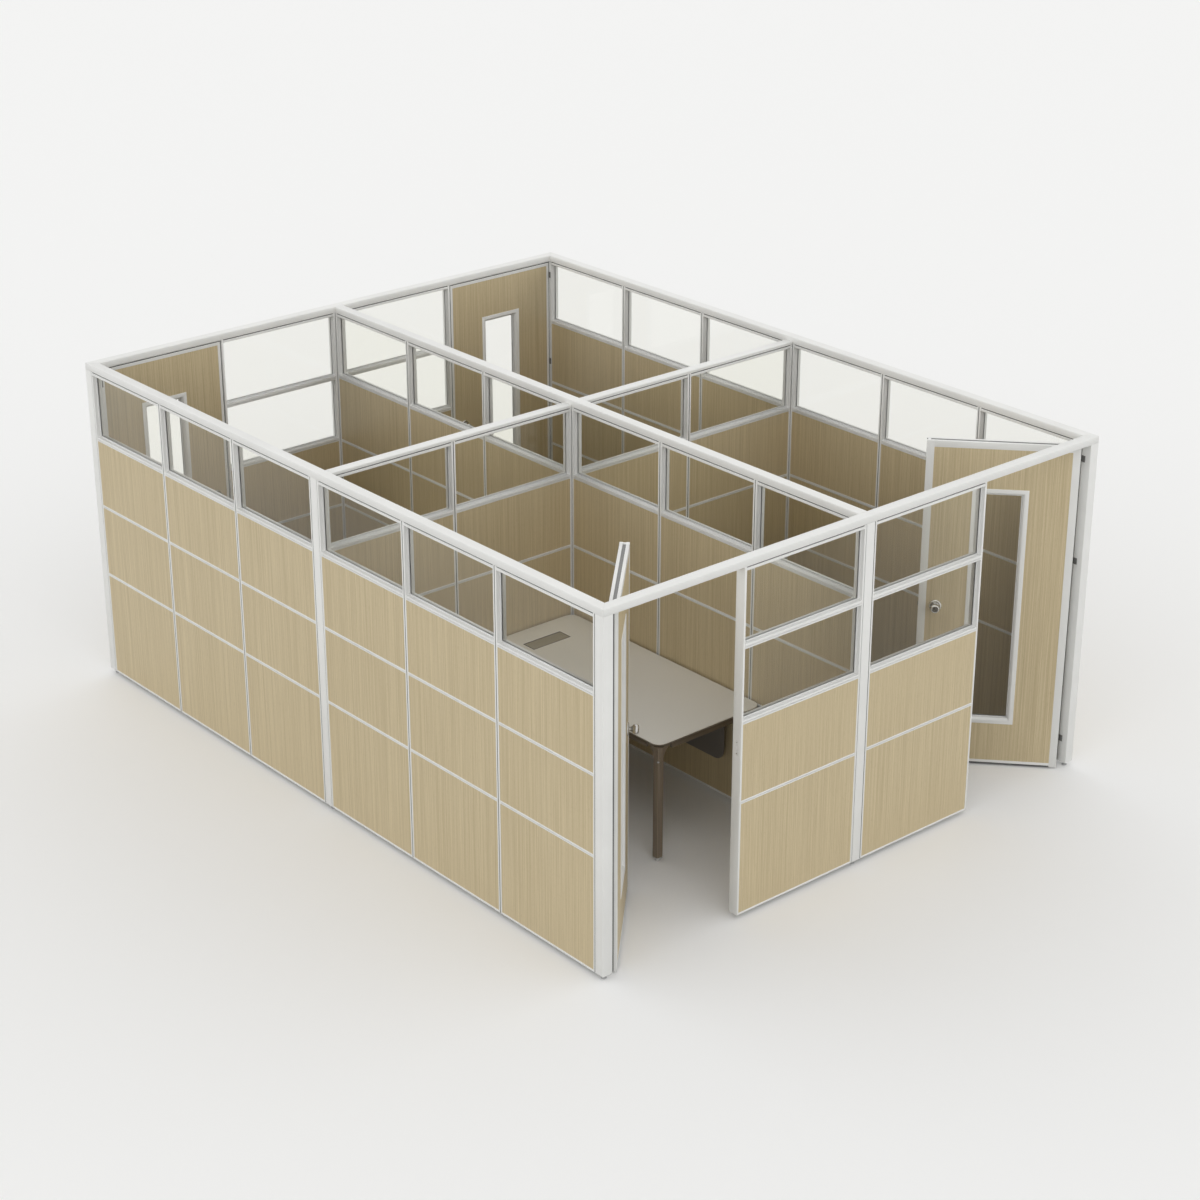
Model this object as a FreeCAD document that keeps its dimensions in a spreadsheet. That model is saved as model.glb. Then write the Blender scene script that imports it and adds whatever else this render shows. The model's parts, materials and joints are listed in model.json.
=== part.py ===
import FreeCAD, Part
import Sketcher
import os
import re

os.makedirs("parts", exist_ok=True)
doc = FreeCAD.newDocument("CubicleWorkstation")

# A block of four office cubicles, two by two, with a hinged door to each.
# Millimetres, +Z up. X runs along the front wall and Y from front to rear.
# The origin lies on the floor below the middle of the whole block.

# Driving sizes
SIZES = [
    ("overall_height", 2150, "floor to the top of the caps"),
    ("post_side", 65, "width of a post and thickness of every wall"),
    ("door_zone", 900, "clear width of a doorway"),
    ("front_panel", 900, "width of a panel in the front and rear walls"),
    ("side_panel", 800, "width of a panel in the side walls and the spine"),
    ("seam", 2.5, "shadow gap between neighbouring panels and posts"),
    ("base_gap", 30, "floor to the underside of posts and panels"),
    ("foot_radius", 16, "levelling foot, across its corners, halved"),
    ("cap_height", 43, "height of the outer and spine caps"),
    ("cap_bevel", 4, "bevel along the top edges of the caps"),
    ("cross_cap_height", 20, "height of the caps on the cross walls"),
    ("cross_cap_drop", 28, "cross cap below the other caps"),
    ("cross_cap_bevel", 3, "bevel along the top edges of a cross cap"),
    ("stile_width", 13, "face width of a panel stile"),
    ("bottom_rail", 12, "face height of the lowest rail"),
    ("seam_rail", 20, "height of the rail between two tiles"),
    ("low_seam_share", 0.3386, "lower tile seam, share of the overall height"),
    ("mid_seam_share", 0.5591, "upper tile seam, share of the overall height"),
    ("side_sill_share", 0.7777, "sill of side, spine and cross walls, same share"),
    ("front_sill_share", 0.5674, "sill of front and rear walls, same share"),
    ("sill_height", 25, "height of the rail below the glass"),
    ("mid_rail_share", 0.7614, "underside of the rail between two panes, same share"),
    ("mid_rail_height", 29, "height of the rail between two panes"),
    ("bead_height", 15, "glazing bead under a cap"),
    ("reveal_height", 7, "shadow gap between cap and bead"),
    ("reveal_depth", 6, "how far that gap is cut in on each face"),
    ("groove_depth", 5, "depth of the glazing groove in a door window"),
    ("tile_inset", 1.5, "tile face behind the frame face"),
    ("pane_thickness", 6, "glass in walls and doors"),
    ("leaf_gap", 5, "gap around a door leaf"),
    ("leaf_thickness", 55, "thickness of a door leaf"),
    ("leaf_bottom", 8, "floor to the lower end of the door stiles"),
    ("outer_stile", 45, "door stile seen on the outer face"),
    ("inner_stile", 23, "door stile seen on the inner face"),
    ("outer_top", 40, "door top rail seen on the outer face"),
    ("inner_top", 26, "door top rail seen on the inner face"),
    ("door_sill_rail", 18, "height of the bottom rail of a door"),
    ("door_sill_lift", 10, "bottom rail above the ends of the stiles"),
    ("edge_flange", 19, "flange on each side of the edge channel"),
    ("channel_depth", 6, "depth of the edge channel of a door"),
    ("skin_inset", 1, "wood face behind the door frame face"),
    ("window_width", 330, "outer width of the door window moulding"),
    ("window_below", 285, "floor to the lower edge of that moulding"),
    ("window_above", 287, "upper edge of that moulding to the top of the leaf"),
    ("moulding_face", 24, "flat face of the moulding"),
    ("moulding_bevel", 12, "bevel along its inner edges"),
    ("moulding_proud", 3, "moulding in front of the wood"),
    ("knob_height", 1050, "floor to the knob"),
    ("knob_backset", 102, "latch edge to the knob"),
    ("rose_radius", 38, "round plate behind a knob"),
    ("rose_thickness", 8, "thickness of that plate"),
    ("knob_radius", 28, "widest radius of a knob"),
    ("knob_reach", 60, "face of the leaf to the end of a knob"),
    ("neck_radius", 11, "neck of a knob"),
    ("spindle_radius", 6, "spindle through the door"),
    ("turning_gap", 0.05, "radial clearance of a turning shaft"),
    ("free_gap", 0.3, "clearance between faces that pass"),
    ("bolt_thickness", 12, "latch bolt across the leaf"),
    ("bolt_height", 22, "height of the latch bolt"),
    ("bolt_length", 38, "length of the latch bolt"),
    ("bolt_throw", 3.5, "latch bolt out of the leaf"),
    ("case_thickness", 16, "latch case across the leaf"),
    ("case_height", 60, "height of the latch case"),
    ("plate_height", 90, "height of latch and strike plates"),
    ("plate_thickness", 2, "thickness of hinge, latch and strike plates"),
    ("top_hinge_drop", 93, "upper hinge below the top of the leaf"),
    ("mid_hinge_share", 0.648, "middle hinge, share of the height of the leaf"),
    ("low_hinge", 187, "floor to the lower hinge"),
    ("hinge_height", 40, "height of a hinge"),
    ("hinge_plate", 28, "depth of a hinge plate in the gap"),
    ("knuckle_radius", 5.5, "outer radius of a hinge knuckle"),
    ("hinge_pin", 3, "radius of a hinge pin"),
    ("front_left_angle", 45, "degrees the front left door stands open"),
    ("front_right_angle", 48, "degrees the front right door stands open"),
    ("desk_height", 750, "floor to the desk top"),
    ("desk_width", 800, "desk from edge to edge, across"),
    ("desk_length", 1700, "desk from end to end"),
    ("desk_thickness", 25, "thickness of the desk top"),
    ("desk_gap", 10, "desk to the walls beside it"),
    ("desk_corner", 60, "corner radius of the desk top"),
    ("desk_bevel", 15, "bevel below the edge of the desk top"),
    ("leg_side", 48, "width of a desk leg"),
    ("leg_corner", 9, "corner bevel of a desk leg"),
    ("flute_width", 7, "flute in the face of a leg, width"),
    ("flute_depth", 2.5, "flute in the face of a leg, depth"),
    ("leg_inset", 4, "leg behind the edge of the top"),
    ("flare_reach", 70, "how far a leg bracket flares along the top"),
    ("flare_drop", 88, "height of a leg bracket"),
    ("flare_web", 30, "thickness of the wings of a leg bracket"),
    ("apron_height", 34, "height of the rails under the top"),
    ("apron_thickness", 18, "thickness of those rails"),
    ("glide_height", 14, "height of a desk glide"),
    ("glide_radius", 17, "desk glide, across its corners, halved"),
    ("screen_thickness", 8, "thickness of the modesty panel"),
    ("screen_bottom", 290, "floor to the modesty panel"),
    ("screen_start", 262, "modesty panel behind the end of the top"),
    ("screen_corner", 75, "lower corner radius of the modesty panel"),
    ("tray_length", 290, "cable tray across the desk"),
    ("tray_width", 105, "cable tray along the desk"),
    ("tray_depth", 70, "cable tray below the desk surface"),
    ("tray_wall", 5, "wall of the cable tray"),
    ("tray_back", 157, "cable tray to the rear end of the top"),
    ("tray_side", 233, "cable tray to the spine edge of the top"),
    ("tray_slot", 60, "cable slot in the floor of the tray"),
    ("lid_gap", 1, "gap around the cable lid"),
    ("lid_thickness", 10, "thickness of the cable lid"),
    ("lid_pin", 2.5, "radius of a lid pin"),
    ("overrun", 10, "cutting shapes past the faces that they cut"),
]
sheet = doc.addObject("Spreadsheet::Sheet", "Sizes")
for row, (alias, value, note) in enumerate(SIZES, start=1):
    sheet.set(f"A{row}", alias)
    sheet.set(f"B{row}", str(value))
    sheet.set(f"C{row}", note)
    sheet.setAlias(f"B{row}", alias)
doc.recompute()
ALIASES = {alias for alias, value, note in SIZES}

# Sizes worked out from the driving ones
DERIVED = {
    "half_post": "post_side/2",
    "half_seam": "seam/2",
    "low_seam": "overall_height*low_seam_share",
    "mid_seam": "overall_height*mid_seam_share",
    "side_sill": "overall_height*side_sill_share",
    "front_sill": "overall_height*front_sill_share",
    "mid_rail_under": "overall_height*mid_rail_share",
    "half_width": "1.5*post_side + door_zone + front_panel",
    "half_depth": "1.5*post_side + 3*side_panel",
    "cap_under": "overall_height - cap_height",
    "cross_top": "overall_height - cross_cap_drop",
    "cross_under": "cross_top - cross_cap_height",
    "cross_panel": "(door_zone + front_panel)/2",
    "row_y": "-(knob_reach - leaf_inset)/2",
    "leaf_inset": "(post_side - leaf_thickness)/2",
    "leaf_width": "door_zone - 2*leaf_gap",
    "leaf_top": "cap_under - leaf_gap",
    "window_height": "leaf_top - window_above - window_below",
    "top_hinge": "leaf_top - top_hinge_drop",
    "mid_hinge": "leaf_top*mid_hinge_share",
    "pin_out": "knuckle_radius + 2*free_gap",
    "pin_x": "half_width - post_side - pin_out",
    "pin_y": "half_depth - post_side - pin_out",
    "hinge_edge": "leaf_gap - pin_out",
    "latch_edge": "hinge_edge + leaf_width",
    "inner_face": "-pin_out - leaf_inset",
    "outer_face": "inner_face - leaf_thickness",
    "leaf_middle": "inner_face - leaf_thickness/2",
    "window_left": "hinge_edge + (leaf_width - window_width)/2",
    "window_front": "outer_face + skin_inset - moulding_proud",
    "window_depth": "leaf_thickness - 2*skin_inset + 2*moulding_proud",
    "moulding": "moulding_face + moulding_bevel",
    "knob_x": "latch_edge - knob_backset",
    "plate_width": "leaf_thickness - 2*edge_flange",
    "desk_right": "-half_post - desk_gap",
    "desk_left": "desk_right - desk_width",
    "desk_rear": "-half_post - desk_gap",
    "desk_front": "desk_rear - desk_length",
    "desk_under": "desk_height - desk_thickness",
    "apron_inset": "leg_inset + (leg_side - apron_thickness)/2",
    "tray_right": "desk_right - tray_side",
    "tray_left": "tray_right - tray_length",
    "tray_rear": "desk_rear - tray_back",
    "tray_front": "tray_rear - tray_width",
    "lid_rear": "tray_rear - tray_wall - lid_gap",
    "lid_axis_y": "lid_rear - lid_thickness/2",
    "lid_axis_z": "desk_height - lid_thickness/2",
}


def full(text):
    """An expression on the sheet, from one written in plain size names."""
    def swap(match):
        word = match.group(0)
        if word in DERIVED:
            return "(" + full(DERIVED[word]) + ")"
        return "Sizes." + word if word in ALIASES else word
    return re.sub(r"[a-z]\w*", swap, text)


def number(text):
    return float(sheet.evalExpression(full(text)))


def put(thing, at=("0", "0", "0"), turn="0"):
    """Ties a place, and a turn about the vertical, to the sheet."""
    for axis, text in zip("xyz", at):
        if text != "0":
            thing.setExpression("Placement.Base." + axis, full(text))
    if turn != "0":
        thing.setExpression("Placement.Rotation.Angle", full(turn))
    return thing


def block(name, size, at):
    """A straight piece with its lower corner at a place."""
    made = doc.addObject("Part::Box", name)
    for side, text in zip(("Length", "Width", "Height"), size):
        made.setExpression(side, full(text))
    return put(made, at)


def outline(body, plane, corners, name):
    """A closed sketch in an origin plane, each corner tied to the sheet."""
    sketch = body.newObject("Sketcher::SketchObject", name)
    planes = {f.Role: f for f in body.Origin.OriginFeatures}
    sketch.AttachmentSupport = (planes[plane], [""])
    sketch.MapMode = "FlatFace"
    points = [FreeCAD.Vector(number(u), number(v), 0) for u, v in corners]
    count = len(points)
    for i, point in enumerate(points):
        sketch.addGeometry(Part.LineSegment(point, points[(i + 1) % count]))
    for i in range(count):
        after = (i + 1) % count
        sketch.addConstraint(Sketcher.Constraint("Coincident", i, 2, after, 1))
    for i, texts in enumerate(corners):
        for kind, text, axis in zip(("DistanceX", "DistanceY"), texts, (-2, -1)):
            if text == "0":
                sketch.addConstraint(Sketcher.Constraint("PointOnObject", i, 1, axis))
                continue
            value = points[i].x if kind == "DistanceX" else points[i].y
            index = sketch.addConstraint(Sketcher.Constraint(kind, -1, 1, i, 1, value))
            sketch.setExpression(f"Constraints[{index}]", full(text))
    return sketch


def prism(name, plane, corners, length, at=("0", "0", "0"), turn="0"):
    """A profile in XY, XZ or YZ, drawn out along +Z, +Y or +X."""
    body = doc.addObject("PartDesign::Body", name)
    sketch = outline(body, plane + "_Plane", corners, name + "_profile")
    pad = body.newObject("PartDesign::Pad", name + "_length")
    pad.Profile = sketch
    pad.setExpression("Length", full(length))
    pad.Reversed = plane == "XZ"
    sketch.Visibility = False
    return put(body, at, turn)


def group(name, members, at=("0", "0", "0"), turn="0"):
    """Pieces held as one object, with a place of its own."""
    made = doc.addObject("Part::Compound", name)
    made.Links = members
    return put(made, at, turn)


def mirror(name, source, normal=(1, 0, 0)):
    made = doc.addObject("Part::Mirroring", name)
    made.Source = source
    made.Normal = FreeCAD.Vector(*normal)
    return made


def cut(name, base, tools):
    """Takes tools away from a piece."""
    whole = tools[0]
    if len(tools) > 1:
        whole = doc.addObject("Part::MultiFuse", name + "_tools")
        whole.Shapes = tools
    made = doc.addObject("Part::Cut", name)
    made.Base = base
    made.Tool = whole
    return made


def fuse(name, pieces):
    made = doc.addObject("Part::MultiFuse", name)
    made.Shapes = pieces
    made.Refine = True
    return made


def tipped(axis, angle):
    return FreeCAD.Rotation(FreeCAD.Vector(*axis), angle)


def facet_rod(name, sides, radius, length, at, tilt=None):
    """A many-sided piece, measured to its corners."""
    made = doc.addObject("Part::Prism", name)
    made.Polygon = sides
    made.setExpression("Circumradius", full(radius))
    made.setExpression("Height", full(length))
    if tilt:
        made.Placement = FreeCAD.Placement(FreeCAD.Vector(), tipped(*tilt))
    return put(made, at)


def across(sides):
    """Share of its corner radius that a many-sided shape has across its flats."""
    return f"cos(180/{sides})"


def common(name, first, second):
    """What two pieces share."""
    made = doc.addObject("Part::Common", name)
    made.Base = first
    made.Tool = second
    return made


NODES = {}


def node(name, members, at=("0", "0", "0"), turn="0"):
    """A finished sub-part: its label is the name of its file."""
    made = group(name, members, at, turn)
    made.Label = name
    NODES[name] = made
    return made


# Wall panels
# A panel stands between two module lines, half a seam inside each. Two stiles
# run from the base gap to the cap, rails divide the height, sandwich tiles with
# wood faces fill it below the sill, and glass stands in mid-thickness above.
def panel(kind, width, top, seams, sill, with_mid_rail):
    inner = f"{width} - 2*half_seam - 2*stile_width"
    left = "half_seam + stile_width"
    face = "-half_post"
    stiles = []
    for side, x in (("left", "half_seam"), ("right", f"{width} - half_seam - stile_width")):
        size = ("stile_width", "post_side", f"{top} - base_gap")
        stiles.append(block(f"{kind}_{side}_stile", size, (x, face, "base_gap")))
    rails = []
    size = (inner, "post_side", "bottom_rail")
    rails.append(block(f"{kind}_bottom_rail", size, (left, face, "base_gap")))
    for seam in seams:
        size = (inner, "post_side", "seam_rail")
        rails.append(block(f"{kind}_{seam}_rail", size, (left, face, f"{seam} - seam_rail/2")))
    size = (inner, "post_side", "sill_height")
    rails.append(block(f"{kind}_sill", size, (left, face, f"{sill} - sill_height")))
    neck = "half_post - reveal_depth"
    bead_top = "bead_height + reveal_height"
    corners = [
        ("-half_post", "0"), ("half_post", "0"), ("half_post", "bead_height"),
        (neck, "bead_height"), (neck, bead_top), (f"-({neck})", bead_top),
        (f"-({neck})", "bead_height"), ("-half_post", "bead_height"),
    ]
    head = f"{top} - reveal_height - bead_height"
    rails.append(prism(f"{kind}_head", "YZ", corners, inner, (left, "0", head)))
    panes = []
    levels = [(sill, head)]
    if with_mid_rail:
        size = (inner, "post_side", "mid_rail_height")
        rails.append(block(f"{kind}_mid_rail", size, (left, face, "mid_rail_under")))
        levels = [(sill, "mid_rail_under"), ("mid_rail_under + mid_rail_height", head)]
    for i, (low, high) in enumerate(levels):
        size = (inner, "pane_thickness", f"{high} - ({low})")
        panes.append(block(f"{kind}_pane_{i}", size, (left, "-pane_thickness/2", low)))
    tiles = []
    lows = ["base_gap + bottom_rail"] + [f"{seam} + seam_rail/2" for seam in seams]
    highs = [f"{seam} - seam_rail/2" for seam in seams] + [f"{sill} - sill_height"]
    for i, (low, high) in enumerate(zip(lows, highs)):
        size = (inner, "post_side - 2*tile_inset", f"{high} - ({low})")
        tiles.append(block(f"{kind}_tile_{i}", size, (left, f"{face} + tile_inset", low)))
    return {
        "frames": group(f"{kind}_frame", stiles + rails),
        "tiles": group(f"{kind}_tiles", tiles),
        "glass": group(f"{kind}_glass", panes),
    }


SEAMS = ["low_seam", "mid_seam"]
side = panel("side", "side_panel", "cap_under", SEAMS, "side_sill", False)
cross = panel("cross", "cross_panel", "cross_under", SEAMS, "side_sill", False)
front = panel("front", "front_panel", "cap_under", SEAMS[:1], "front_sill", True)

# The doorway side of a front panel: its stile takes a strike plate, flush.
strike_size = ("plate_thickness", "plate_width", "plate_height")
strike_low = "knob_height - plate_height/2"
strike_at = ("half_seam", "-plate_width/2", strike_low)
strike_seat = block("strike_seat", strike_size, strike_at)
latch_stile = cut("latch_stile", doc.front_left_stile, [strike_seat])
members = doc.front_frame.Links
doc.front_frame.Links = [latch_stile if m.Name == "front_left_stile" else m for m in members]
strike_plate = block("strike_plate", strike_size, strike_at)
strike_hole = block(
    "strike_hole",
    ("plate_thickness + 2*overrun", "bolt_thickness + 2*free_gap", "bolt_height + 2*free_gap"),
    ("half_seam - overrun", "-bolt_thickness/2 - free_gap", "knob_height - bolt_height/2 - free_gap"),
)
strike = cut("strike", strike_plate, [strike_hole])

# Wall runs
# Each run lists the module lines where its panels start, along X or along Y.
SIDE_STARTS = [f"-half_depth + post_side + {i}*side_panel" for i in range(3)]
SIDE_STARTS += [f"half_post + {i}*side_panel" for i in range(3)]
CROSS_STARTS = ["-half_width + post_side", "-half_width + post_side + cross_panel"]
CROSS_STARTS += ["half_post", "half_post + cross_panel"]


def run_along_y(name, source, x):
    """Six side panels in a wall that runs from front to rear."""
    placed = []
    for i, start in enumerate(SIDE_STARTS):
        placed.append(group(f"{name}_{i}", [source], (x, start, "0"), "90"))
    return placed


SIDE_WALLS = {"left": "-half_width + half_post", "right": "half_width - half_post", "spine": "0"}
WALL_Y = ("0", "row_y", "0")
glass = []
for wall, x in SIDE_WALLS.items():
    node(f"{wall}_wall_frames", run_along_y(f"{wall}_frame", side["frames"], x), WALL_Y)
    node(f"{wall}_wall_tiles", run_along_y(f"{wall}_tile", side["tiles"], x), WALL_Y)
    glass += run_along_y(f"{wall}_glass", side["glass"], x)
for what in ("frames", "tiles", "glass"):
    placed = []
    for i, start in enumerate(CROSS_STARTS):
        placed.append(group(f"cross_{what}_{i}", [cross[what]], (start, "0", "0")))
    if what == "glass":
        glass += placed
    else:
        node(f"cross_wall_{what}", placed, WALL_Y)

# A front panel's latch stile faces the doorway, so the right-hand one is turned.
FRONT_LINE = "half_depth - half_post"
strikes = []
for wall, y in (("front", f"-({FRONT_LINE})"), ("rear", FRONT_LINE)):
    left = ("-half_post - front_panel", y, "0")
    right = ("half_post + front_panel", y, "0")
    for what in ("frames", "tiles", "glass"):
        placed = [group(f"{wall}_{what}_left", [front[what]], left)]
        placed.append(group(f"{wall}_{what}_right", [front[what]], right, "180"))
        if what == "glass":
            glass += placed
        else:
            node(f"{wall}_wall_{what}", placed, WALL_Y)
    strikes.append(group(f"{wall}_strike_left", [strike], left))
    strikes.append(group(f"{wall}_strike_right", [strike], right, "180"))
node("wall_glass", glass, WALL_Y)
node("strike_plates", strikes, WALL_Y)

# Posts
# A post fills its module square less half a seam on each side with a panel.
tall = "cap_under - base_gap"
slim = "post_side - half_seam"
thin = "post_side - 2*half_seam"
corner_posts = []
for end, x in (("left", "-half_width"), ("right", "half_width - post_side")):
    corner_posts.append(
        block(f"front_{end}_post", ("post_side", slim, tall), (x, "-half_depth", "base_gap"))
    )
    rear_y = "half_depth - post_side + half_seam"
    corner_posts.append(block(f"rear_{end}_post", ("post_side", slim, tall), (x, rear_y, "base_gap")))
node("corner_posts", corner_posts, WALL_Y)
centred = "-half_post + half_seam"
junction_posts = [
    block("front_mid_post", (thin, slim, tall), (centred, "-half_depth", "base_gap")),
    block("rear_mid_post", (thin, slim, tall), (centred, rear_y, "base_gap")),
    block("left_mid_post", (slim, thin, tall), ("-half_width", centred, "base_gap")),
    block(
        "right_mid_post", (slim, thin, tall),
        ("half_width - post_side + half_seam", centred, "base_gap"),
    ),
    block("centre_post", (thin, thin, tall), (centred, centred, "base_gap")),
]
node("junction_posts", junction_posts, WALL_Y)
MIDDLES = [
    (x, y)
    for x in ("-half_width + half_post", "0", "half_width - half_post")
    for y in ("-half_depth + half_post", "0", "half_depth - half_post")
]
feet = []
for i, (x, y) in enumerate(MIDDLES):
    feet.append(facet_rod(f"foot_{i}", 6, "foot_radius", "base_gap", (x, y, "0")))
node("levelling_feet", feet, WALL_Y)


# Caps
# Outer caps are mitred at the corners and bevelled along both top edges.
def mitred_cap(name, half_length):
    """Along X, centred, with its outer side on y = 0 and its inner on +Y."""
    corners = [
        (f"-({half_length})", "0"), (half_length, "0"),
        (f"{half_length} - post_side", "post_side"),
        (f"-({half_length} - post_side)", "post_side"),
    ]
    body = prism(name, "XY", corners, "cap_height")
    doc.recompute()
    pad = body.Tip
    top = number("cap_height")
    edges = []
    for i, edge in enumerate(pad.Shape.Edges, start=1):
        ends = [v.Point for v in edge.Vertexes]
        level = all(abs(p.z - top) < top / 100 for p in ends)
        if level and abs(ends[0].y - ends[1].y) < top / 100:
            edges.append(f"Edge{i}")
    bevel = body.newObject("PartDesign::Chamfer", name + "_bevel")
    bevel.Base = (pad, edges)
    bevel.setExpression("Size", full("cap_bevel"))
    return body


long_cap = mitred_cap("front_cap", "half_width")
side_cap = mitred_cap("side_cap", "half_depth")
node(
    "perimeter_cap",
    [
        group("cap_front", [long_cap], ("0", "-half_depth", "cap_under")),
        group("cap_rear", [long_cap], ("0", "half_depth", "cap_under"), "180"),
        group("cap_right", [side_cap], ("half_width", "0", "cap_under"), "90"),
        group("cap_left", [side_cap], ("-half_width", "0", "cap_under"), "-90"),
    ],
    WALL_Y,
)


def straight_cap(name, plane, height, bevel, length, at):
    corners = [
        ("-half_post", "0"), ("half_post", "0"), ("half_post", f"{height} - {bevel}"),
        (f"half_post - {bevel}", height), (f"-half_post + {bevel}", height),
        ("-half_post", f"{height} - {bevel}"),
    ]
    return prism(name, plane, corners, length, at)


spine_cap = straight_cap(
    "spine_top", "XZ", "cap_height", "cap_bevel",
    "2*half_depth - 2*post_side", ("0", "-half_depth + post_side", "cap_under"),
)
node("spine_cap", [spine_cap], WALL_Y)
cross_cap = straight_cap(
    "cross_top_cap", "YZ", "cross_cap_height", "cross_cap_bevel",
    "2*cross_panel", ("0", "0", "cross_under"),
)
node(
    "cross_caps",
    [
        group("cross_cap_left", [cross_cap], ("-half_width + post_side", "0", "0")),
        group("cross_cap_right", [cross_cap], ("half_post", "0", "0")),
    ],
    WALL_Y,
)

# Door leaf, closed, with the hinge pin's axis at the origin
# The leaf runs to +X, its outer face looks to -Y, and it opens to +Y.
# Stiles and top rail have an open channel in the edge between two flanges.
outer = "outer_face"
inner = "inner_face"
lip = "outer_face + edge_flange"
back = "inner_face - edge_flange"
stile_corners = [
    ("0", outer), ("outer_stile", outer), ("outer_stile", lip), ("inner_stile", lip),
    ("inner_stile", inner), ("0", inner), ("0", back), ("channel_depth", back),
    ("channel_depth", lip), ("0", lip),
]
stile_tall = "leaf_top - leaf_bottom"
hinge_stile = prism(
    "hinge_stile", "XY", stile_corners, stile_tall, ("hinge_edge", "0", "leaf_bottom")
)
latch_corners = [(f"-({u})" if u != "0" else u, v) for u, v in stile_corners]
latch_stile_bar = prism(
    "door_latch_stile", "XY", latch_corners, stile_tall, ("latch_edge", "0", "leaf_bottom")
)
rail_corners = [
    (outer, "0"), (lip, "0"), (lip, "-channel_depth"), (back, "-channel_depth"),
    (back, "0"), (inner, "0"), (inner, "-inner_top"), (lip, "-inner_top"),
    (lip, "-outer_top"), (outer, "-outer_top"),
]
top_rail = prism(
    "door_top_rail", "YZ", rail_corners, "leaf_width - 2*outer_stile",
    ("hinge_edge + outer_stile", "0", "leaf_top"),
)
sill_z = "leaf_bottom + door_sill_lift"
sill_rail = block(
    "door_bottom_rail",
    ("leaf_width - 2*inner_stile", "leaf_thickness", "door_sill_rail"),
    ("hinge_edge + inner_stile", outer, sill_z),
)
# The outer flange of each stile overlaps the wider inner part of the bottom rail.
sill_notch_size = ("outer_stile - inner_stile", "edge_flange", "door_sill_rail")
sill_notch_left = block("sill_notch_left", sill_notch_size, ("hinge_edge + inner_stile", outer, sill_z))
sill_notch_right = block(
    "sill_notch_right", sill_notch_size, ("latch_edge - outer_stile", outer, sill_z)
)
door_sill = cut("door_sill", sill_rail, [sill_notch_left, sill_notch_right])
# The rest of the top rail, behind the flanges of the stiles.
top_ends = []
for i, x in enumerate(("hinge_edge + inner_stile", "latch_edge - outer_stile")):
    size = ("outer_stile - inner_stile", f"{inner} - ({lip})", "inner_top")
    top_ends.append(block(f"top_rail_end_{i}", size, (x, lip, "leaf_top - inner_top")))
top_channel = block(
    "top_channel",
    ("leaf_width", f"{back} - ({lip})", "channel_depth + overrun"),
    ("hinge_edge", lip, "leaf_top - channel_depth"),
)
top_fused = fuse("top_rail_whole", [top_rail] + top_ends)
door_top = cut("door_top", top_fused, [top_channel])

# Latch: a case in the edge of the leaf, a bolt that slides in it, two roses
# and a pair of knobs on one spindle.
case_length = "knob_backset + rose_radius/2 - channel_depth"
case_at = (
    "latch_edge - channel_depth - (" + case_length + ")",
    "leaf_middle - case_thickness/2", "knob_height - case_height/2",
)
case_seat = block("case_seat", (case_length, "case_thickness", "case_height"), case_at)
case_body = block("case_body", (case_length, "case_thickness", "case_height"), case_at)
bolt_room = block(
    "bolt_room",
    ("bolt_length + bolt_throw + overrun", "bolt_thickness + 2*free_gap", "bolt_height + 2*free_gap"),
    (
        "latch_edge - bolt_length - bolt_throw", "leaf_middle - bolt_thickness/2 - free_gap",
        "knob_height - bolt_height/2 - free_gap",
    ),
)
KNOB_SIDES = 12
ROSE_SIDES = 16
bore_radius = f"(spindle_radius + turning_gap)/{across(KNOB_SIDES)}"
spindle_bore = facet_rod(
    "spindle_bore", KNOB_SIDES, bore_radius, "leaf_thickness + 2*rose_thickness + 2*overrun",
    ("knob_x", "inner_face + rose_thickness + overrun", "knob_height"), ((1, 0, 0), 90),
)
face_plate = block(
    "face_plate", ("channel_depth", "plate_width", "plate_height"),
    ("latch_edge - channel_depth", "leaf_middle - plate_width/2", "knob_height - plate_height/2"),
)
case_whole = fuse("case_whole", [case_body, face_plate])
latch_case = cut("latch_case", case_whole, [bolt_room, spindle_bore])
roses = []
rose_faces = {"outer": "outer_face + skin_inset", "inner": "inner_face - skin_inset + rose_thickness"}
for end, y in rose_faces.items():
    disc = facet_rod(
        f"{end}_rose_disc", ROSE_SIDES, "rose_radius", "rose_thickness",
        ("knob_x", y, "knob_height"), ((1, 0, 0), 90),
    )
    roses.append(cut(f"{end}_rose", disc, [spindle_bore]))
bolt = prism(
    "bolt", "XY",
    [
        ("0", "-bolt_thickness/2"), ("bolt_length - bolt_thickness/4", "-bolt_thickness/2"),
        ("bolt_length", "-bolt_thickness/4"), ("bolt_length", "bolt_thickness/4"),
        ("bolt_length - bolt_thickness/4", "bolt_thickness/2"), ("0", "bolt_thickness/2"),
    ],
    "bolt_height",
    ("latch_edge + bolt_throw - bolt_length", "leaf_middle", "knob_height - bolt_height/2"),
)
# Both knobs and their spindle are one turned form, from six flat-sided copies of
# its side view. Shares of a knob's radius and rise set the curve from the neck.
KNOB_SHARES = [(0.60, 0.30), (0.92, 0.46), (1.0, 0.62), (1.0, 0.82), (0.74, 1.0)]
rose_face = "(leaf_thickness/2 - skin_inset + rose_thickness + free_gap)"
knob_rise = f"(knob_reach + leaf_thickness/2 - {rose_face})"
half_view = [(f"spindle_radius*{across(KNOB_SIDES)}", rose_face), ("neck_radius", rose_face)]
for wide, along in KNOB_SHARES:
    half_view.append((f"knob_radius*{wide}", f"{rose_face} + {knob_rise}*{along}"))
side_view = [(u, v) for u, v in half_view] + [(f"-({u})", v) for u, v in reversed(half_view)]
side_view += [(f"-({u})", f"-({v})") for u, v in half_view]
side_view += [(u, f"-({v})") for u, v in reversed(half_view)]
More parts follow.
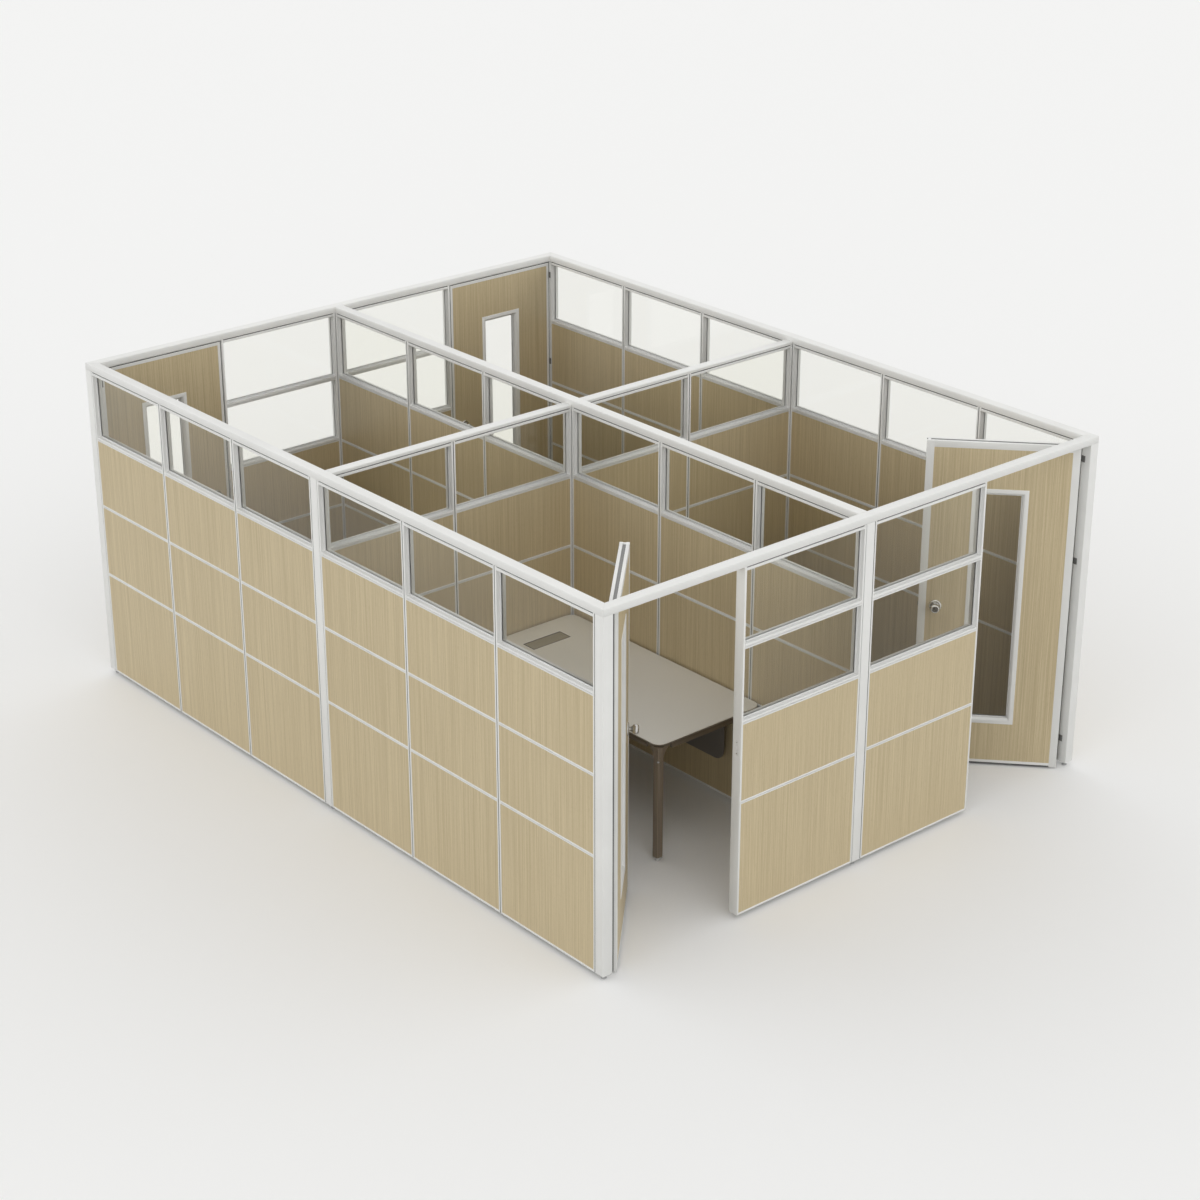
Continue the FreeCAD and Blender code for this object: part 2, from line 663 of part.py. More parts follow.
knob_view = prism("knob_view", "XZ", side_view, "4*knob_radius", ("0", "-2*knob_radius", "0"))
knob_one = group("knob_one", [knob_view])
knob_two = group("knob_two", [knob_view], turn="180/6")
knob_four_sides = common("knob_four_sides", knob_one, knob_two)
knob_turned = group("knob_turned", [knob_four_sides], turn="2*180/6")
knob_eight_sides = common("knob_eight_sides", knob_four_sides, knob_turned)
knob_turned_again = group("knob_turned_again", [knob_four_sides], turn="4*180/6")
knob_upright = common("knob_upright", knob_eight_sides, knob_turned_again)
knob_pair = group("knob_pair", [knob_upright])
knob_pair.Placement = FreeCAD.Placement(FreeCAD.Vector(), tipped((1, 0, 0), 90))
put(knob_pair, ("knob_x", "leaf_middle", "knob_height"))

# Wood leaf: a narrower outer board and a wider inner board in one piece.
wood_low = f"{sill_z} + door_sill_rail"
outer_board = block(
    "outer_board",
    ("leaf_width - 2*outer_stile", "edge_flange - skin_inset", f"leaf_top - outer_top - ({wood_low})"),
    ("hinge_edge + outer_stile", "outer_face + skin_inset", wood_low),
)
inner_board = block(
    "inner_board",
    (
        "leaf_width - 2*inner_stile", "leaf_thickness - edge_flange - skin_inset",
        f"leaf_top - inner_top - ({wood_low})",
    ),
    ("hinge_edge + inner_stile", lip, wood_low),
)
boards = fuse("boards", [outer_board, inner_board])
window_hole = block(
    "window_hole", ("window_width", "leaf_thickness + 2*overrun", "window_height"),
    ("window_left", "outer_face - overrun", "window_below"),
)
wood = cut("wood_leaf", boards, [window_hole, case_seat, spindle_bore])
latch_bar = cut("latch_bar", latch_stile_bar, [case_seat])

# Window moulding: a frame with sloped inner faces, grooved for its pane.
moulding_body = doc.addObject("PartDesign::Body", "moulding_ring")
ring = outline(
    moulding_body, "XZ_Plane",
    [("0", "0"), ("window_width", "0"), ("window_width", "window_height"), ("0", "window_height")],
    "moulding_outline",
)
ring_pad = moulding_body.newObject("PartDesign::Pad", "moulding_depth")
ring_pad.Profile = ring
ring_pad.setExpression("Length", full("window_depth"))
ring_pad.Reversed = True
hole = outline(
    moulding_body, "XZ_Plane",
    [
        ("moulding", "moulding"), ("window_width - moulding", "moulding"),
        ("window_width - moulding", "window_height - moulding"),
        ("moulding", "window_height - moulding"),
    ],
    "moulding_opening",
)
ring_hole = moulding_body.newObject("PartDesign::Pocket", "moulding_hole")
ring_hole.Profile = hole
ring_hole.Type = "ThroughAll"
ring_hole.Midplane = True
doc.recompute()
wide, tall_ring, slope = number("window_width"), number("window_height"), number("moulding")
deep = number("window_depth")
edges = []
for i, edge in enumerate(ring_hole.Shape.Edges, start=1):
    ends = [v.Point for v in edge.Vertexes]
    on_face = all(min(p.y, deep - p.y) < deep / 100 for p in ends)
    flat = abs(ends[0].y - ends[1].y) < deep / 100
    inside = all(
        slope / 2 < p.x < wide - slope / 2 and slope / 2 < p.z < tall_ring - slope / 2 for p in ends
    )
    if on_face and flat and inside:
        edges.append(f"Edge{i}")
bevel = moulding_body.newObject("PartDesign::Chamfer", "moulding_bevels")
bevel.Base = (ring_hole, edges)
bevel.setExpression("Size", full("moulding_bevel"))
put(moulding_body, ("window_left", "window_front", "window_below"))
pane_size = (
    "window_width - 2*moulding + 2*groove_depth", "pane_thickness",
    "window_height - 2*moulding + 2*groove_depth",
)
pane_at = (
    "window_left + moulding - groove_depth", "window_front + window_depth/2 - pane_thickness/2",
    "window_below + moulding - groove_depth",
)
pane_groove = block("door_pane_groove", pane_size, pane_at)
door_pane = block("door_pane", pane_size, pane_at)
moulding_frame = cut("moulding_frame", moulding_body, [pane_groove])

# Hinges: three knuckles on a pin. The post's plate carries the outer two and
# the pin, the door's plate carries the middle one.
HINGES = ["top_hinge", "mid_hinge", "low_hinge"]
knuckle = "hinge_height/3"
plate_y = "-pin_out - hinge_plate"
SIDES = 8
post_parts = []
for i, (low, long) in enumerate((("0", knuckle), (f"2*{knuckle}", knuckle))):
    post_parts.append(facet_rod(f"post_knuckle_{i}", SIDES, "knuckle_radius", long, ("0", "0", low)))
post_parts.append(facet_rod("post_pin", SIDES, "hinge_pin", "hinge_height", ("0", "0", "0")))
post_parts.append(
    block(
        "post_plate", ("plate_thickness", "hinge_plate + pin_out", "hinge_height"),
        ("-pin_out", plate_y, "0"),
    )
)
plate_relief = facet_rod(
    "plate_relief", SIDES, "knuckle_radius + 2*free_gap", f"{knuckle} + 2*free_gap",
    ("0", "0", f"{knuckle} - free_gap"),
)
post_relief = cut("post_plate_relieved", post_parts.pop(), [plate_relief])
post_half = fuse("hinge_post_half", post_parts + [post_relief])
door_plate = block(
    "door_plate", ("plate_thickness", "hinge_plate + pin_out", f"{knuckle} - 2*free_gap"),
    ("hinge_edge - plate_thickness", plate_y, f"{knuckle} + free_gap"),
)
door_plate_wide = block(
    "door_plate_wide", ("plate_thickness", "hinge_plate - leaf_inset", "hinge_height"),
    ("hinge_edge - plate_thickness", plate_y, "0"),
)
middle_knuckle = facet_rod(
    "door_knuckle", SIDES, "knuckle_radius", f"{knuckle} - 2*free_gap", ("0", "0", f"{knuckle} + free_gap")
)
pin_bore = facet_rod(
    "pin_bore", SIDES, f"(hinge_pin + turning_gap)/{across(SIDES)}", "hinge_height", ("0", "0", "0")
)
door_half = cut(
    "hinge_door_half", fuse("hinge_door_whole", [door_plate, door_plate_wide, middle_knuckle]), [pin_bore]
)
post_hinges = group(
    "post_hinges",
    [group(f"post_{h}", [post_half], ("0", "0", f"{h} - hinge_height/2")) for h in HINGES],
)
door_hinges = [group(f"door_{h}", [door_half], ("0", "0", f"{h} - hinge_height/2")) for h in HINGES]

DOOR_PARTS = {
    "door_frame": group("frame_of_door", [hinge_stile, latch_bar, door_top, door_sill]),
    "door_leaf": group("leaf_of_door", [wood]),
    "window_frame": group("window_of_door", [moulding_frame]),
    "window_glass": group("pane_of_door", [door_pane]),
    "door_ironmongery": group("iron_of_door", door_hinges + [latch_case] + roses),
    "knob": group("knob_of_door", [knob_pair]),
    "latch_bolt": group("bolt_of_door", [bolt]),
}
# The left-hand front door and the right-hand rear door are alike, half a turn
# apart, and the other two are their mirror image.
DOORS = {
    "front_left": (False, ("-pin_x", "-pin_y + row_y", "0"), "front_left_angle"),
    "front_right": (True, ("pin_x", "-pin_y + row_y", "0"), "-front_right_angle"),
    "rear_left": (True, ("-pin_x", "pin_y + row_y", "0"), "180"),
    "rear_right": (False, ("pin_x", "pin_y + row_y", "0"), "180"),
}
twins = {part: mirror(part + "_mirrored", source) for part, source in DOOR_PARTS.items()}
twin_hinges = mirror("post_hinges_mirrored", post_hinges)
wall_hinges = []
for door, (flipped, at, turn) in DOORS.items():
    for part, source in DOOR_PARTS.items():
        node(f"{part}_{door}", [twins[part] if flipped else source], at, turn)
    closed = "180" if door.startswith("rear") else "0"
    source = twin_hinges if flipped else post_hinges
    wall_hinges.append(group(f"wall_hinges_{door}", [source], at, closed))
node("hinge_post_leaves", wall_hinges)


# Desks
# One desk is drawn in the front left room; the others mirror it and turn it.
CHORDS = 5


def rounded_desk():
    """The desk's outline, each corner a run of chords."""
    points = []
    ends = [("desk_right", 1, "desk_rear", 1), ("desk_left", -1, "desk_rear", 1)]
    ends += [("desk_left", -1, "desk_front", -1), ("desk_right", 1, "desk_front", -1)]
    for i, (x, east, y, north) in enumerate(ends):
        for step in range(CHORDS + 1):
            angle = 90*i + 90*step/CHORDS
            u = f"{x} - ({east})*desk_corner + desk_corner*cos({angle})"
            v = f"{y} - ({north})*desk_corner + desk_corner*sin({angle})"
            points.append((u, v))
    return points


desk_slab = prism(
    "desk_slab", "XY", rounded_desk(), "desk_thickness", ("0", "0", "desk_under")
)
doc.recompute()
slab_pad = desk_slab.Tip
half_slab = number("desk_thickness") / 2
slab_edges = []
for i, edge in enumerate(slab_pad.Shape.Edges, start=1):
    if all(v.Z < half_slab for v in edge.Vertexes):
        slab_edges.append(f"Edge{i}")
slab_bevel = desk_slab.newObject("PartDesign::Chamfer", "desk_slab_bevel")
slab_bevel.Base = (slab_pad, slab_edges)
slab_bevel.setExpression("Size", full("desk_bevel"))
tray_hole = block(
    "tray_hole", ("tray_length", "tray_width", "desk_thickness + 2*overrun"),
    ("tray_left", "tray_front", "desk_under - overrun"),
)
desk_top = cut("desk_top", desk_slab, [tray_hole])

# Cable tray: a box let into the top, open above under its lid, slotted below.
tray_low = "desk_height - tray_depth"
tray_shell = block(
    "tray_shell", ("tray_length", "tray_width", "tray_depth"), ("tray_left", "tray_front", tray_low)
)
tray_room = block(
    "tray_room",
    ("tray_length - 2*tray_wall", "tray_width - 2*tray_wall", "tray_depth - tray_wall + overrun"),
    ("tray_left + tray_wall", "tray_front + tray_wall", f"{tray_low} + tray_wall"),
)
tray_exit = block(
    "tray_exit", ("tray_slot*2", "tray_slot", "tray_wall + 2*overrun"),
    (
        "tray_left + tray_length/2 - tray_slot", "tray_front + tray_width/2 - tray_slot/2",
        f"{tray_low} - overrun",
    ),
)
lid_bore = facet_rod(
    "lid_bore", SIDES, f"(lid_pin + turning_gap)/{across(SIDES)}", "tray_length",
    ("tray_left", "lid_axis_y", "lid_axis_z"), ((0, 1, 0), 90),
)
tray = cut("tray", tray_shell, [tray_room, tray_exit, lid_bore])
lid_left = "tray_left + tray_wall + lid_gap"
lid_long = "tray_length - 2*tray_wall - 2*lid_gap"
lid_slab = block(
    "lid_slab", (lid_long, "tray_width - 2*tray_wall - 2*lid_gap - lid_thickness/2", "lid_thickness"),
    (lid_left, "tray_front + tray_wall + lid_gap", "desk_height - lid_thickness"),
)
lid_edge = facet_rod(
    "lid_edge", KNOB_SIDES, "lid_thickness/2", lid_long,
    (lid_left, "lid_axis_y", "lid_axis_z"), ((0, 1, 0), 90),
)
lid_pins = facet_rod(
    "lid_pins", SIDES, "lid_pin", "tray_length - 2*free_gap",
    ("tray_left + free_gap", "lid_axis_y", "lid_axis_z"), ((0, 1, 0), 90),
)
lid = fuse("lid", [lid_slab, lid_edge, lid_pins])

# Legs: fluted square section with bevelled corners, on low glides.
side_l = "leg_side/2"
bevel_l = "leg_side/2 - leg_corner"
flute = "flute_width/2"
deep_l = "leg_side/2 - flute_depth"
quarter = [
    (side_l, f"-({bevel_l})"), (side_l, f"-({flute})"), (deep_l, "0"), (side_l, flute), (side_l, bevel_l)
]


def quarter_turn(points):
    turned_points = []
    for u, v in points:
        minus = "0" if v == "0" else f"-({v})"
        turned_points.append((minus, u))
    return turned_points


leg_corners = list(quarter)
turned_quarter = quarter
for i in range(3):
    turned_quarter = quarter_turn(turned_quarter)
    leg_corners += turned_quarter
leg = prism("leg", "XY", leg_corners, "desk_under - glide_height", ("0", "0", "glide_height"))
glide = facet_rod("glide", 6, "glide_radius", "glide_height", ("0", "0", "0"))
# A cast bracket flares from the leg along both rails; shares give its curve.
FLARE_SHARES = [(1.0, 0.0), (0.52, 0.16), (0.22, 0.42), (0.06, 0.74), (0.0, 1.0)]
wing = [("0", "0")]
for out, down in FLARE_SHARES:
    wing.append((f"leg_side/2 + flare_reach*{out}", f"-flare_drop*{down}" if down else "0"))
wing.append(("0", "-flare_drop"))
wing_x = prism("wing_x", "XZ", wing, "flare_web", ("0", "-flare_web/2", "desk_under"))
wing_y = group("wing_y", [wing_x])
wing_y.Placement = FreeCAD.Placement(FreeCAD.Vector(), tipped((0, 0, 1), 90))
casting = fuse("bracket_casting", [wing_x, wing_y])
leg_space = block(
    "leg_space", ("leg_side", "leg_side", "flare_drop + 2*overrun"),
    ("-leg_side/2", "-leg_side/2", "desk_under - flare_drop - overrun"),
)
bracket = cut("bracket", casting, [leg_space])
LEG_CENTRES = [
    ("desk_left + leg_inset + leg_side/2", "desk_front + leg_inset + leg_side/2", "0"),
    ("desk_right - leg_inset - leg_side/2", "desk_front + leg_inset + leg_side/2", "90"),
    ("desk_right - leg_inset - leg_side/2", "desk_rear - leg_inset - leg_side/2", "180"),
    ("desk_left + leg_inset + leg_side/2", "desk_rear - leg_inset - leg_side/2", "270"),
]


def at_legs(name, source):
    """The same piece at all four legs, turned to face inward."""
    return group(
        name,
        [group(f"{name}_{i}", [source], (x, y, "0"), turn) for i, (x, y, turn) in enumerate(LEG_CENTRES)],
    )


# Rails under the top, from bracket to bracket.
reach = "(leg_inset + leg_side + flare_reach)"
apron_low = "desk_under - apron_height"
aprons = []
for name, y in (
    ("front", "desk_front + apron_inset"), ("rear", "desk_rear - apron_inset - apron_thickness")
):
    aprons.append(
        block(
            f"apron_{name}", (f"desk_width - 2*({reach})", "apron_thickness", "apron_height"),
            (f"desk_left + {reach}", y, apron_low),
        )
    )
for name, x in (
    ("left", "desk_left + apron_inset"), ("right", "desk_right - apron_inset - apron_thickness")
):
    aprons.append(
        block(
            f"apron_{name}", ("apron_thickness", f"desk_length - 2*({reach})", "apron_height"),
            (x, f"desk_front + {reach}", apron_low),
        )
    )

# Modesty panel, hung from the top beside the spine rail, one corner rounded.
screen_x = "desk_right - apron_inset - apron_thickness - screen_thickness"
screen_body = prism(
    "screen", "YZ",
    [
        ("desk_front + screen_start", "screen_bottom"),
        (f"desk_rear - {reach}", "screen_bottom"),
        (f"desk_rear - {reach}", "desk_under"),
        ("desk_front + screen_start", "desk_under"),
    ],
    "screen_thickness", (screen_x, "0", "0"),
)
doc.recompute()
screen_pad = screen_body.Tip
low_edges = []
for i, e in enumerate(screen_pad.Shape.Edges, start=1):
    thick = abs(e.Vertexes[0].X - e.Vertexes[1].X) > number("screen_thickness") / 2
    if thick and e.Vertexes[0].Z < number("desk_under") / 2 + number("screen_bottom") / 2:
        low_edges.append(f"Edge{i}")
screen_round = screen_body.newObject("PartDesign::Fillet", "screen_corners")
screen_round.Base = (screen_pad, low_edges)
screen_round.setExpression("Radius", full("screen_corner"))

DESK_PARTS = {
    "desk_tops": desk_top,
    "desk_rails": group("aprons", aprons),
    "desk_legs": at_legs("legs_of_desk", leg),
    "desk_leg_brackets": at_legs("brackets_of_desk", bracket),
    "desk_glides": at_legs("glides_of_desk", glide),
    "modesty_panels": screen_body,
    "cable_trays": tray,
}
for name, source in DESK_PARTS.items():
    twin = mirror(name + "_mirrored", source)
    placed = [source, twin]
    placed.append(group(name + "_turned", [source], turn="180"))
    placed.append(group(name + "_mirrored_turned", [twin], turn="180"))
    node(name, placed, WALL_Y)
lid_twin = mirror("lid_mirrored", lid)
node("cable_lid_front_left", [lid], WALL_Y)
node("cable_lid_front_right", [lid_twin], WALL_Y)
node("cable_lid_rear_right", [lid], WALL_Y, "180")
node("cable_lid_rear_left", [lid_twin], WALL_Y, "180")

# Checks before anything is written
doc.recompute()
for thing in doc.Objects:
    if "Invalid" in thing.State or "Error" in thing.State:
        raise RuntimeError(f"{thing.Label} did not build")
for name, made in NODES.items():
    if made.Shape.isNull() or not made.Shape.isValid() or not made.Shape.Solids:
        raise RuntimeError(f"{name} has no sound shape")
for name, made in NODES.items():
    made.Shape.exportStep(f"parts/{name}.step")
print(len(NODES), "sub-parts,", sum(len(m.Shape.Solids) for m in NODES.values()), "solids")
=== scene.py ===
import json
import math

import bmesh
import bpy
from bpy.props import FloatProperty, FloatVectorProperty, IntProperty, PointerProperty
from mathutils import Color, Matrix, Vector


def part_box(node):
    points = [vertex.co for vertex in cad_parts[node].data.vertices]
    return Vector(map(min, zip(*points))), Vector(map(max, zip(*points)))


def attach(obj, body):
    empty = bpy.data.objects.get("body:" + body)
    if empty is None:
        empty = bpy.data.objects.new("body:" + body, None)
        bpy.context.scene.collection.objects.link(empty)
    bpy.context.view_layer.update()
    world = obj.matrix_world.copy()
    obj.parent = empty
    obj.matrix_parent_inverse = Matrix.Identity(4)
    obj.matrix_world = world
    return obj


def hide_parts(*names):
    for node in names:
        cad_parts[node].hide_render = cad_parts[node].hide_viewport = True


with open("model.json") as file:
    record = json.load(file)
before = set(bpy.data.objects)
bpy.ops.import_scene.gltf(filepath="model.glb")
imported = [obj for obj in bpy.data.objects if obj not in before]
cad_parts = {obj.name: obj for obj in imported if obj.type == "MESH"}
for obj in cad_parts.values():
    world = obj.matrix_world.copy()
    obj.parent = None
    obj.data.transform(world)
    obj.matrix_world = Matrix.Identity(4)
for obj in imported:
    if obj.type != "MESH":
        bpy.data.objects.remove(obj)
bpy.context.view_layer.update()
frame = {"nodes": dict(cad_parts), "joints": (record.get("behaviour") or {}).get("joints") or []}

bl_info = {
    "name": "Cubicle Workstation",
    "version": (1, 0, 0),
    "blender": (4, 5, 0),
    "location": "View3D > Sidebar > Cubicles",
    "description": "Dresses a two by two block of office cubicles with hinged doors and desks",
    "category": "Object",
}

MM = 0.001
NODES = frame["nodes"]
ROOT = "structure"
DOORS = ("front_left", "front_right", "rear_left", "rear_right")
WALLS = ("left", "right", "spine", "cross", "front", "rear")
# The part of a face's normal along an axis, from a face square on it to one hardly turned to it
FLAT_ON, SQUARE_ON, SIDEWAYS, TURNED, SLIGHT = 0.98, 0.9, 0.5, 0.3, 0.2
# Angles between faces: one plane, an edge to round, and an edge that looks sharp
SAME_PLANE, ROUNDED_EDGE, SHARP_EDGE = math.radians(0.5), math.radians(20), math.radians(32)
# Distances within which corners are one: in metres, and for shapes drawn in millimetres
TOUCH, CUT_TOUCH, SPUN_TOUCH, LEAF_TOUCH = 1e-6, 1e-3, 2e-3, 2e-2
# Sides of turned pieces
SMALL_SIDES, BARREL_SIDES, FOOT_SIDES = 16, 20, 24


# Settings
def millimetres(name, value, note):
    return FloatProperty(
        name=name, description=note, default=value / 1000, min=0, precision=4,
        unit="LENGTH", subtype="DISTANCE",
    )


def paint(name, red, green, blue, note):
    return FloatVectorProperty(
        name=name, description=note, size=3, min=0, max=1, subtype="COLOR_GAMMA",
        default=(red / 255, green / 255, blue / 255),
    )


def share(name, value, note):
    return FloatProperty(name=name, description=note, default=value, min=0, subtype="FACTOR")


def count(name, value, note):
    return IntProperty(name=name, description=note, default=value, min=3, subtype="UNSIGNED")


class StageSettings(bpy.types.PropertyGroup):
    floor: paint("Floor", 248, 248, 247, "Colour of the floor")
    backdrop: paint("Backdrop", 246, 246, 245, "Colour behind the floor")
    bounce: paint("Floor bounce", 178, 178, 176, "Colour of the floor in the light it throws up")
    zenith: share("Zenith", 0.42, "Strength of the soft light from straight above")
    horizon: share("Horizon", 1.38, "Strength of the soft light from the sides")
    even: share("Even up to", 0.4, "Height in the sky up to which its light stays even")
    key: share("Key lamp", 0.15, "Strength of the large soft lamp")
    lens: FloatProperty(name="Lens", description="Focal length", default=76.63, unit="CAMERA")
    eye: FloatVectorProperty(
        name="Eye", description="Place of the camera", size=3, subtype="TRANSLATION",
        unit="LENGTH", default=(-9.3696, -11.2236, 7.2956),
    )
    heading: FloatProperty(
        name="Heading", description="Camera turned about the vertical", subtype="ANGLE",
        default=math.radians(-40.5837),
    )
    dip: FloatProperty(
        name="Dip", description="Camera looking down by", subtype="ANGLE",
        default=math.radians(23.9461),
    )


class FrameSettings(bpy.types.PropertyGroup):
    coat: paint("Powder coat", 236, 236, 233, "Colour of the aluminium frames")
    # Recess colour: painted shade, the dark put on stile sides in seams, in reveals over beads, at
    # door rims, in latch mouths and on door seals
    shade: paint("Recess", 78, 78, 78, "Colour inside joints and grooves")
    # Joint line colour: painted shade, grey in the grooves of the rails and beside the glazing
    # beads
    joint_line_shade: paint("Joint line", 186, 186, 184, "Colour in the joint lines")
    # Channel colour: painted shade, grey in the door channels and on the stiles' rounding at seams
    channel: paint("Channel", 142, 142, 140, "Colour inside the edge channels of the doors")
    seam: millimetres("Seam rounding", 2.0, "Rounding of stiles where they meet")
    edge: millimetres("Edge radius", 1.2, "Rounding along the profiles")
    line: millimetres("Joint line", 3.0, "Width of the line between two tiles")
    line_depth: millimetres("Joint depth", 5.0, "Depth of that line")


class WoodSettings(bpy.types.PropertyGroup):
    light: paint("Light grain", 212, 196, 161, "Pale bands of the veneer")
    dark: paint("Dark grain", 186, 169, 133, "Darker bands of the veneer")
    pore: paint("Pores", 150, 132, 98, "Fine short pores")
    bands: count("Bands", 170, "Grain bands in a metre")
    fibres: count("Fibres", 420, "Fine fibres in a metre")


class GlassSettings(bpy.types.PropertyGroup):
    tint: paint("Tint", 254, 254, 252, "What one face of a pane lets through")
    shade: paint("Shade", 136, 136, 134, "What one face lets through to light what is behind it")
    index: share("Index", 1.3, "Index of refraction")
    bead: millimetres("Bead", 5.0, "Width and height of the bead beside a pane")
    # The bead line is a strip painted grey as the shade between bead and frame
    bead_line: millimetres("Bead line", 1.2, "Shadow line between that bead and the frame")
    bead_coat: paint("Bead colour", 244, 244, 242, "Colour of the beads")


class DoorSettings(bpy.types.PropertyGroup):
    chrome: paint("Chrome", 208, 206, 202, "Polished knobs and roses")
    steel: paint("Steel", 138, 136, 133, "Hinges, bolts and plates")
    strike: paint("Strike plate", 234, 234, 231, "Strike plates on the wall frames")
    plate: paint("Hinge plate", 128, 127, 124, "Hinge plates and barrels")
    facets: count("Facets", 48, "Facets round knobs and roses")


class DeskSettings(bpy.types.PropertyGroup):
    laminate: paint("Laminate", 240, 237, 228, "Desk surface")
    edge: paint("Edge band", 136, 124, 107, "Edge of the desk surface")
    # Bevel colour: a slightly darker copy of the edge band for the downward bevel, painted shade
    bevel: paint("Bevel", 132, 121, 106, "Bevel below that edge")
    # Underside colour: painted shade, dark on the desk top's underside and on the cable trays
    # below it
    under: paint("Underside", 66, 59, 52, "Board below the edge")
    # Rail colour: the leg metal darkened, partly painted shade under the desk top
    rail: paint("Rail", 116, 105, 91, "Rails below the edge")
    metal: paint("Metal", 140, 126, 109, "Legs and rails")
    # Flute colour: painted shade, the flute bottoms darker than the leg metal
    groove: paint("Flute", 100, 91, 78, "Bottom of the flutes of a leg")
    rim: millimetres("Rim", 2.2, "Rounding round the desk surface")
    sheet: millimetres("Sheet", 6.0, "Thickness of the laminate sheet")
    flutes: count("Flutes", 16, "Flutes round a leg")
    lid: paint("Lid", 162, 153, 129, "Cable lid")
    acrylic: paint("Acrylic", 128, 123, 117, "Modesty panel")


# Materials
def linear(colour):
    return (*Color(colour).from_srgb_to_scene_linear(), 1.0)


class Nodes:
    """The nodes of the world, or of a material."""

    output = "World Output"

    def __init__(self, owner):
        owner.use_nodes = True
        self.tree = owner.node_tree

    def feed(self, node, sockets):
        """Gives each socket its value, or joins it to the output given for it."""
        for key, value in sockets.items():
            if isinstance(value, bpy.types.NodeSocket):
                self.tree.links.new(value, node.inputs[key])
            else:
                node.inputs[key].default_value = value

    def add(self, kind, sockets=None, **settings):
        node = self.tree.nodes.new(kind)
        for key, value in settings.items():
            setattr(node, key, value)
        self.feed(node, sockets or {})
        return node

    def ramp(self, value, low, high, start=0.0, end=1.0):
        return self.add("ShaderNodeMapRange", {
            "Value": value, "From Min": low, "From Max": high, "To Min": start, "To Max": end,
        }).outputs["Result"]

    def mix(self, share_of_second, first, second):
        first, second = (
            tone if isinstance(tone, bpy.types.NodeSocket) else linear(tone)
            for tone in (first, second)
        )
        sockets = {"Factor": share_of_second, 6: first, 7: second}  # Colour inputs A and B
        return self.add("ShaderNodeMix", sockets, data_type="RGBA").outputs[2]

    def show(self, share_of_second, first, second):
        """Sends a mix of two shaders to the output."""
        sockets = {"Fac": share_of_second, 1: first.outputs[0], 2: second.outputs[0]}
        both = self.add("ShaderNodeMixShader", sockets)
        self.feed(self.tree.nodes[self.output], {"Surface": both.outputs["Shader"]})

    def seen(self, *other_rays):
        """One for what the camera sees, straight on or in a polished face, and else none."""
        path = self.add("ShaderNodeLightPath")
        found = path.outputs["Is Camera Ray"]
        for ray in ("Is Glossy Ray", *other_rays):
            sockets = {0: found, 1: path.outputs[ray]}
            found = self.add("ShaderNodeMath", sockets, operation="MAXIMUM").outputs["Value"]
        return found


class Finish(Nodes):
    """A material whose pattern lies on Object coordinates."""

    output = "Material Output"

    def __init__(self, name, colour, roughness, sockets=None):
        self.material = bpy.data.materials.new(name)
        super().__init__(self.material)
        self.shader = self.tree.nodes["Principled BSDF"]
        self.place = self.add("ShaderNodeTexCoord").outputs["Object"]
        own = {"Base Color": linear(colour), "Roughness": roughness}
        self.feed(self.shader, {**own, **(sockets or {})})

    def colour(self, source):
        self.feed(self.shader, {"Base Color": source})

    def rough(self, source):
        self.feed(self.shader, {"Roughness": source})

    def bump(self, height, strength, distance):
        sockets = {"Height": height, "Strength": strength, "Distance": distance}
        normal = self.add("ShaderNodeBump", sockets).outputs["Normal"]
        self.feed(self.shader, {"Normal": normal})

    def fleck(self, colour, part, noise, low=0.35, high=0.65):
        """The colour, and a darker one where the noise is high."""
        dark = tuple(channel * part for channel in colour)
        self.colour(self.mix(self.ramp(noise, low, high), colour, dark))

    def wear(self, scale, least, most):
        """Roughness that wanders from place to place."""
        self.rough(self.ramp(self.noise(scale, 3.0), 0.3, 0.7, least, most))

    def stretched(self, x, y, z):
        sockets = {"Vector": self.place, "Scale": (x, y, z)}
        return self.add("ShaderNodeMapping", sockets).outputs["Vector"]

    def noise(self, scale, detail=2.0, rough=0.5, place=None):
        return self.add("ShaderNodeTexNoise", {
            "Vector": place or self.place, "Scale": scale, "Detail": detail, "Roughness": rough,
        }).outputs["Fac"]


def coat_finish(name, colour, roughness):
    """Powder coat with its faint orange peel and a little handling grime."""
    made = Finish(name, colour, roughness)
    made.fleck(colour, 0.98, made.noise(3.0, 3.0, 0.6))
    made.wear(9.0, roughness - 0.05, roughness + 0.07)
    made.bump(made.noise(900.0), 0.06, 0.0006)
    return made.material


def veneer_finish(name, light, dark, pore, bands, fibres):
    """Straight-grained veneer, its grain upright whichever way a wall faces."""
    made = Finish(name, light, 0.42)
    band = made.noise(1.0, 4.0, 0.62, made.stretched(bands, bands, 0.9))
    broad = made.noise(1.0, place=made.stretched(11, 11, 0.35))
    fibre = made.noise(1.0, 3.0, 0.6, made.stretched(fibres, fibres, 4.0))
    tick = made.noise(1.0, place=made.stretched(fibres * 2.2, fibres * 2.2, 26.0))
    tone = light
    for layer, low, high, most, towards in (
        (band, 0.40, 0.64, 0.85, dark), (broad, 0.30, 0.75, 0.18, dark),
        (fibre, 0.45, 0.72, 0.55, dark), (tick, 0.62, 0.72, 0.55, pore),
    ):
        tone = made.mix(made.ramp(layer, low, high, 0.0, most), tone, towards)
    made.colour(tone)
    made.rough(made.ramp(fibre, 0.3, 0.7, 0.38, 0.50))
    made.bump(made.ramp(tick, 0.55, 0.72, 1.0, 0.0), 0.18, 0.0004)
    return made.material


